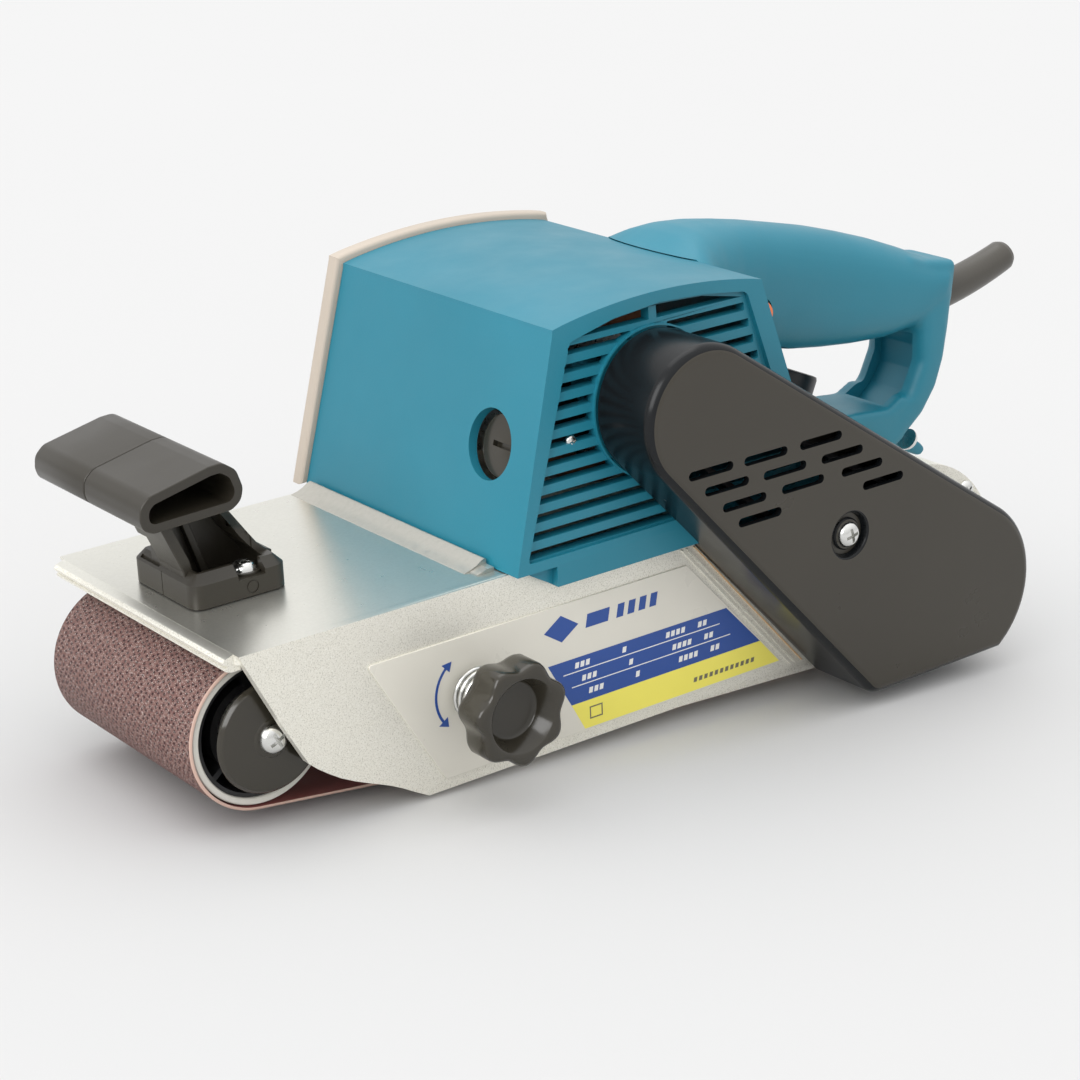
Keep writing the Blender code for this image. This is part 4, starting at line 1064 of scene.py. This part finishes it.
def front_grip():
    """The grip: base, channelled stem, near tube and the end sleeve."""
    low, high, chamfer = 28.3, 37.6, 2.6
    foot = soft_corners([(-4.4, -15.3), (25, -15.3), (25, 18.5), (-4.4, 18.5)], 4.2, 6)
    base = stacked("grip_skin", [(foot, low), (foot, high - chamfer), (inset(foot, chamfer), high)])
    stem = [(-3.0, 34), (-3.6, 37.6), (-4.6, 40.2), (-10.4, 54), (-10.4, 57), (8.8, 57), (9.6, 54.5),
            (17.4, 43.4), (19.6, 40.4), (22.0, 38.2), (24.0, 37.2), (24.0, 34)]
    lean = slab("stem", soft_corners(stem, [0, 2, 4, 0, 0, 0, 0, 3, 4, 3, 0, 0], 4), -9.0, 9.5, edge=0.5,
                segments=2)
    section = soft_corners(GRIP_SECTION, 4.0, 5)
    tube = slab("near_tube", section, -16, 14.8, edge=0.5)
    room = slab("near_room", soft_corners(inset(GRIP_SECTION, 2.6), 2.6, 5), -20, 12.8)
    channel = [(-0.4, 31.6), (-0.8, 37.4), (-1.6, 40.6), (-6.6, 52.4), (8.2, 52.4), (14.6, 43.2),
               (17.0, 40.2), (19.4, 37.6), (20.6, 35), (20.6, 31.6)]
    window = slab("stem_window", soft_corners(channel, [1, 1, 3, 0, 0, 2, 3, 2, 1, 1], 3), -20, 3.2)
    keep = block("near_rim", (-9, -20, 20), (30, -11.6, 37.7))
    cut(window, keep)
    brace = slab("brace", [(7.6, 31), (9.8, 31), (2.4, 54), (0.2, 54)], 0.6, 4, edge=0.3, segments=2)
    post = rod("screw_post", 4.6, 0, 3.8, facing(GRIP_SCREW_X, GRIP_SCREW_Y[0], 30.5, (0, 0, 1)))
    notch = block("notch", (9.4, -20, 33.6), (17.8, -8.6, 45))
    side_notch = block("side_notch", (-9, 4.2, 35.6), (-2.9, 14.6, 45))
    slots = [turned("grip_hole", [(2.6, 30), (2.6, 0), (0, 0), (0, 30)],
                    facing(GRIP_SCREW_X, y, 20, (0, 0, 1)), closed=False) for y in GRIP_SCREW_Y]
    well = turned("grip_well", [(4.5, 12), (4.5, 0), (0, 0), (0, 12)],
                  facing(GRIP_SCREW_X, GRIP_SCREW_Y[1], 33.7, (0, 0, 1)), closed=False)
    seam = block("seam", (-9, 1.8, 27), (-4.15, 2.1, 38))
    mark = turned("mark", [(1.9, 0.3), (1.9, -0.2), (1.5, -0.2), (1.5, 0.3)],
                  facing(13.6, -15.3, 31.0, NEAR), sides=32)
    join(base, lean, tube)
    cut(base, room, window, notch, side_notch, well, seam, mark)
    join(base, brace, post)
    cut(base, *slots)
    paint(base, GRIP)
    rounded(base, 0.3, 2, 32)
    flatten(base)
    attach(base, "machine")
    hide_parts("front_grip")
    sleeve = slab("sleeve_skin", section, 15.1, 44, edge=0.5, segments=2)
    cut(sleeve, slab("far_room", soft_corners(inset(GRIP_SECTION, 2.6), 2.6, 5), 10, 40))
    sharpen(sleeve, 32)
    paint(sleeve, GRIP)
    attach(sleeve, "machine")
    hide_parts("grip_end_sleeve")
    for name, y in zip(("near", "far"), GRIP_SCREW_Y):
        screw = pan_screw("grip_pan_screw_" + name, facing(GRIP_SCREW_X, y, 34.3, (0, 0, 1)), 3.7,
                          turn=35)
        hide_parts("grip_screw_" + name)


def small_pieces():
    """Remaining screws, the lock button and the dust spout."""
    screw = pan_screw("guard_pan_screw", facing(248.7, -SIDE - 0.3, 10.4, NEAR), 3.0, turn=40)
    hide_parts("guard_screw")
    inner = pan_screw("grille_screw", facing(96.6, -49.2, 61.1, NEAR), 1.9, turn=10)
    foot = pan_screw("foot_pan_screw", facing(262.2, -10.4, 14.4, (0.79, 0, -0.61)), 3.6, turn=10)
    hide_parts("handle_foot_screw")
    button = turned("lock_button_skin", [(0, 6.2), (2.4, 6.2), (3.3, 5.8), (3.8, 5.0), (3.8, 0), (0, 0)],
                    facing(196.8, -10, 70.3, NEAR), closed=False, body="button", finish=ORANGE)
    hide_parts("lock_button")
    fins = Matrix.Rotation(radians(24), 4, "Y")
    spout = turned("spout_skin", [(11, 33.8), (11, 46.6), (10.6, 47.6), (9.6, 47.8), (9.1, 47.2),
                                  (9, 33.8)],
                   Matrix.Translation(Vector((DRIVE_AXIS[0], 31, DRIVE_AXIS[1])) * MM) @ fins,
                   finish=INNER)
    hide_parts("dust_spout")


def paint_the_rest():
    """Finishes for the CAD pieces that show as they are."""
    looks = {
        DARK_STEEL: ("sole_plate front_bearing_near front_bearing_far tension_slide tension_spring "
                     "drive_bearing motor_pulley drive_pulley armature_core stator_core"),
        CORK: ("cork_pad"),
        STEEL: ("front_axle pivot_pin tracking_stud drive_shaft drum_nut motor_shaft motor_bearing_near "
                "motor_bearing_far"),
        CASTING: ("roller_fork drive_drum"),
        COVER: ("release_lever motor_fan trigger"),
        INNER: ("drive_tyre toothed_belt carbon_brush_front carbon_brush_rear brush_holder_front "
                "brush_holder_rear switch_body"),
        COPPER: ("commutator field_coil"),
    }
    for finish, names in looks.items():
        for name in names.split():
            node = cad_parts[name]
            paint(node, finish)
            rounded(node, 0.25, 2, 30)


# ---- floor, light and camera --------------------------------------------------------
def studio():
    """Pale floor, soft light that spares the floor, and the camera."""
    shape = bmesh.new()
    bmesh.ops.create_grid(shape, x_segments=1, y_segments=1, size=12)
    mesh = bpy.data.meshes.new("floor")
    shape.to_mesh(mesh)
    shape.free()
    ground = bpy.data.objects.new("floor", mesh)
    bpy.context.scene.collection.objects.link(ground)
    paper = new_material("floor_paper", (0.80, 0.80, 0.80), 0.9, specular=0.0)
    drive(paper, "Base Color", ramp(paper, noise(paper, 3), [(0.3, (0.798,) * 3), (0.7, (0.802,) * 3)]))
    mesh.materials.append(paper)
    world = bpy.data.worlds.new("studio")
    bpy.context.scene.world = world
    world.use_nodes = True
    nodes, links = world.node_tree.nodes, world.node_tree.links
    toward = nodes.new("ShaderNodeTexCoord")
    parts = nodes.new("ShaderNodeSeparateXYZ")
    links.new(toward.outputs["Generated"], parts.inputs["Vector"])
    sky = nodes.new("ShaderNodeMapRange")
    sky.inputs["To Min"].default_value = 0.75
    sky.inputs["To Max"].default_value = 1.35
    links.new(parts.outputs["Z"], sky.inputs["Value"])
    links.new(sky.outputs["Result"], nodes["Background"].inputs["Color"])
    only_floor = bpy.data.collections.new("only_floor")
    only_floor.objects.link(ground)
    for name, spot, target, size, power in (("key", (-1.6, -0.5, 1.0), (0, 0, 0.05), 1.2, 20),
                                            ("top", (0.1, 0.4, 1.7), (0, 0, 0.05), 1.3, 7)):
        lamp = bpy.data.lights.new(name, "AREA")
        lamp.shape = "SQUARE"
        lamp.size = size
        lamp.energy = power
        holder = bpy.data.objects.new(name, lamp)
        bpy.context.scene.collection.objects.link(holder)
        holder.location = spot
        holder.rotation_euler = (Vector(target) - Vector(spot)).to_track_quat("-Z", "Y").to_euler()
        holder.light_linking.receiver_collection = only_floor
    only_floor.collection_objects[0].light_linking.link_state = "EXCLUDE"
    lens = bpy.data.cameras.new("camera")
    lens.sensor_width = 36
    lens.lens = 88.57
    camera = bpy.data.objects.new("camera", lens)
    bpy.context.scene.collection.objects.link(camera)
    right = Vector((0.7983, -0.6010, -0.0399))
    ahead = Vector((0.5529, 0.7575, -0.3473)).normalized()
    right = (right - ahead * right.dot(ahead)).normalized()
    above = right.cross(ahead)
    turn = Matrix((right, above, -ahead)).transposed().to_4x4()
    camera.matrix_world = CAST @ Matrix.Translation(Vector((-316.7, -599.5, 287.6)) * MM) @ turn
    bpy.context.scene.camera = camera
    bpy.context.scene.view_settings.view_transform = "Standard"


sanding_belt()
rollers()
casting_pieces()
nameplate()
motor_housing()
end_cap()
belt_cover()
handle()
cord_guard()
tracking_knob()
front_grip()
small_pieces()
paint_the_rest()
studio()
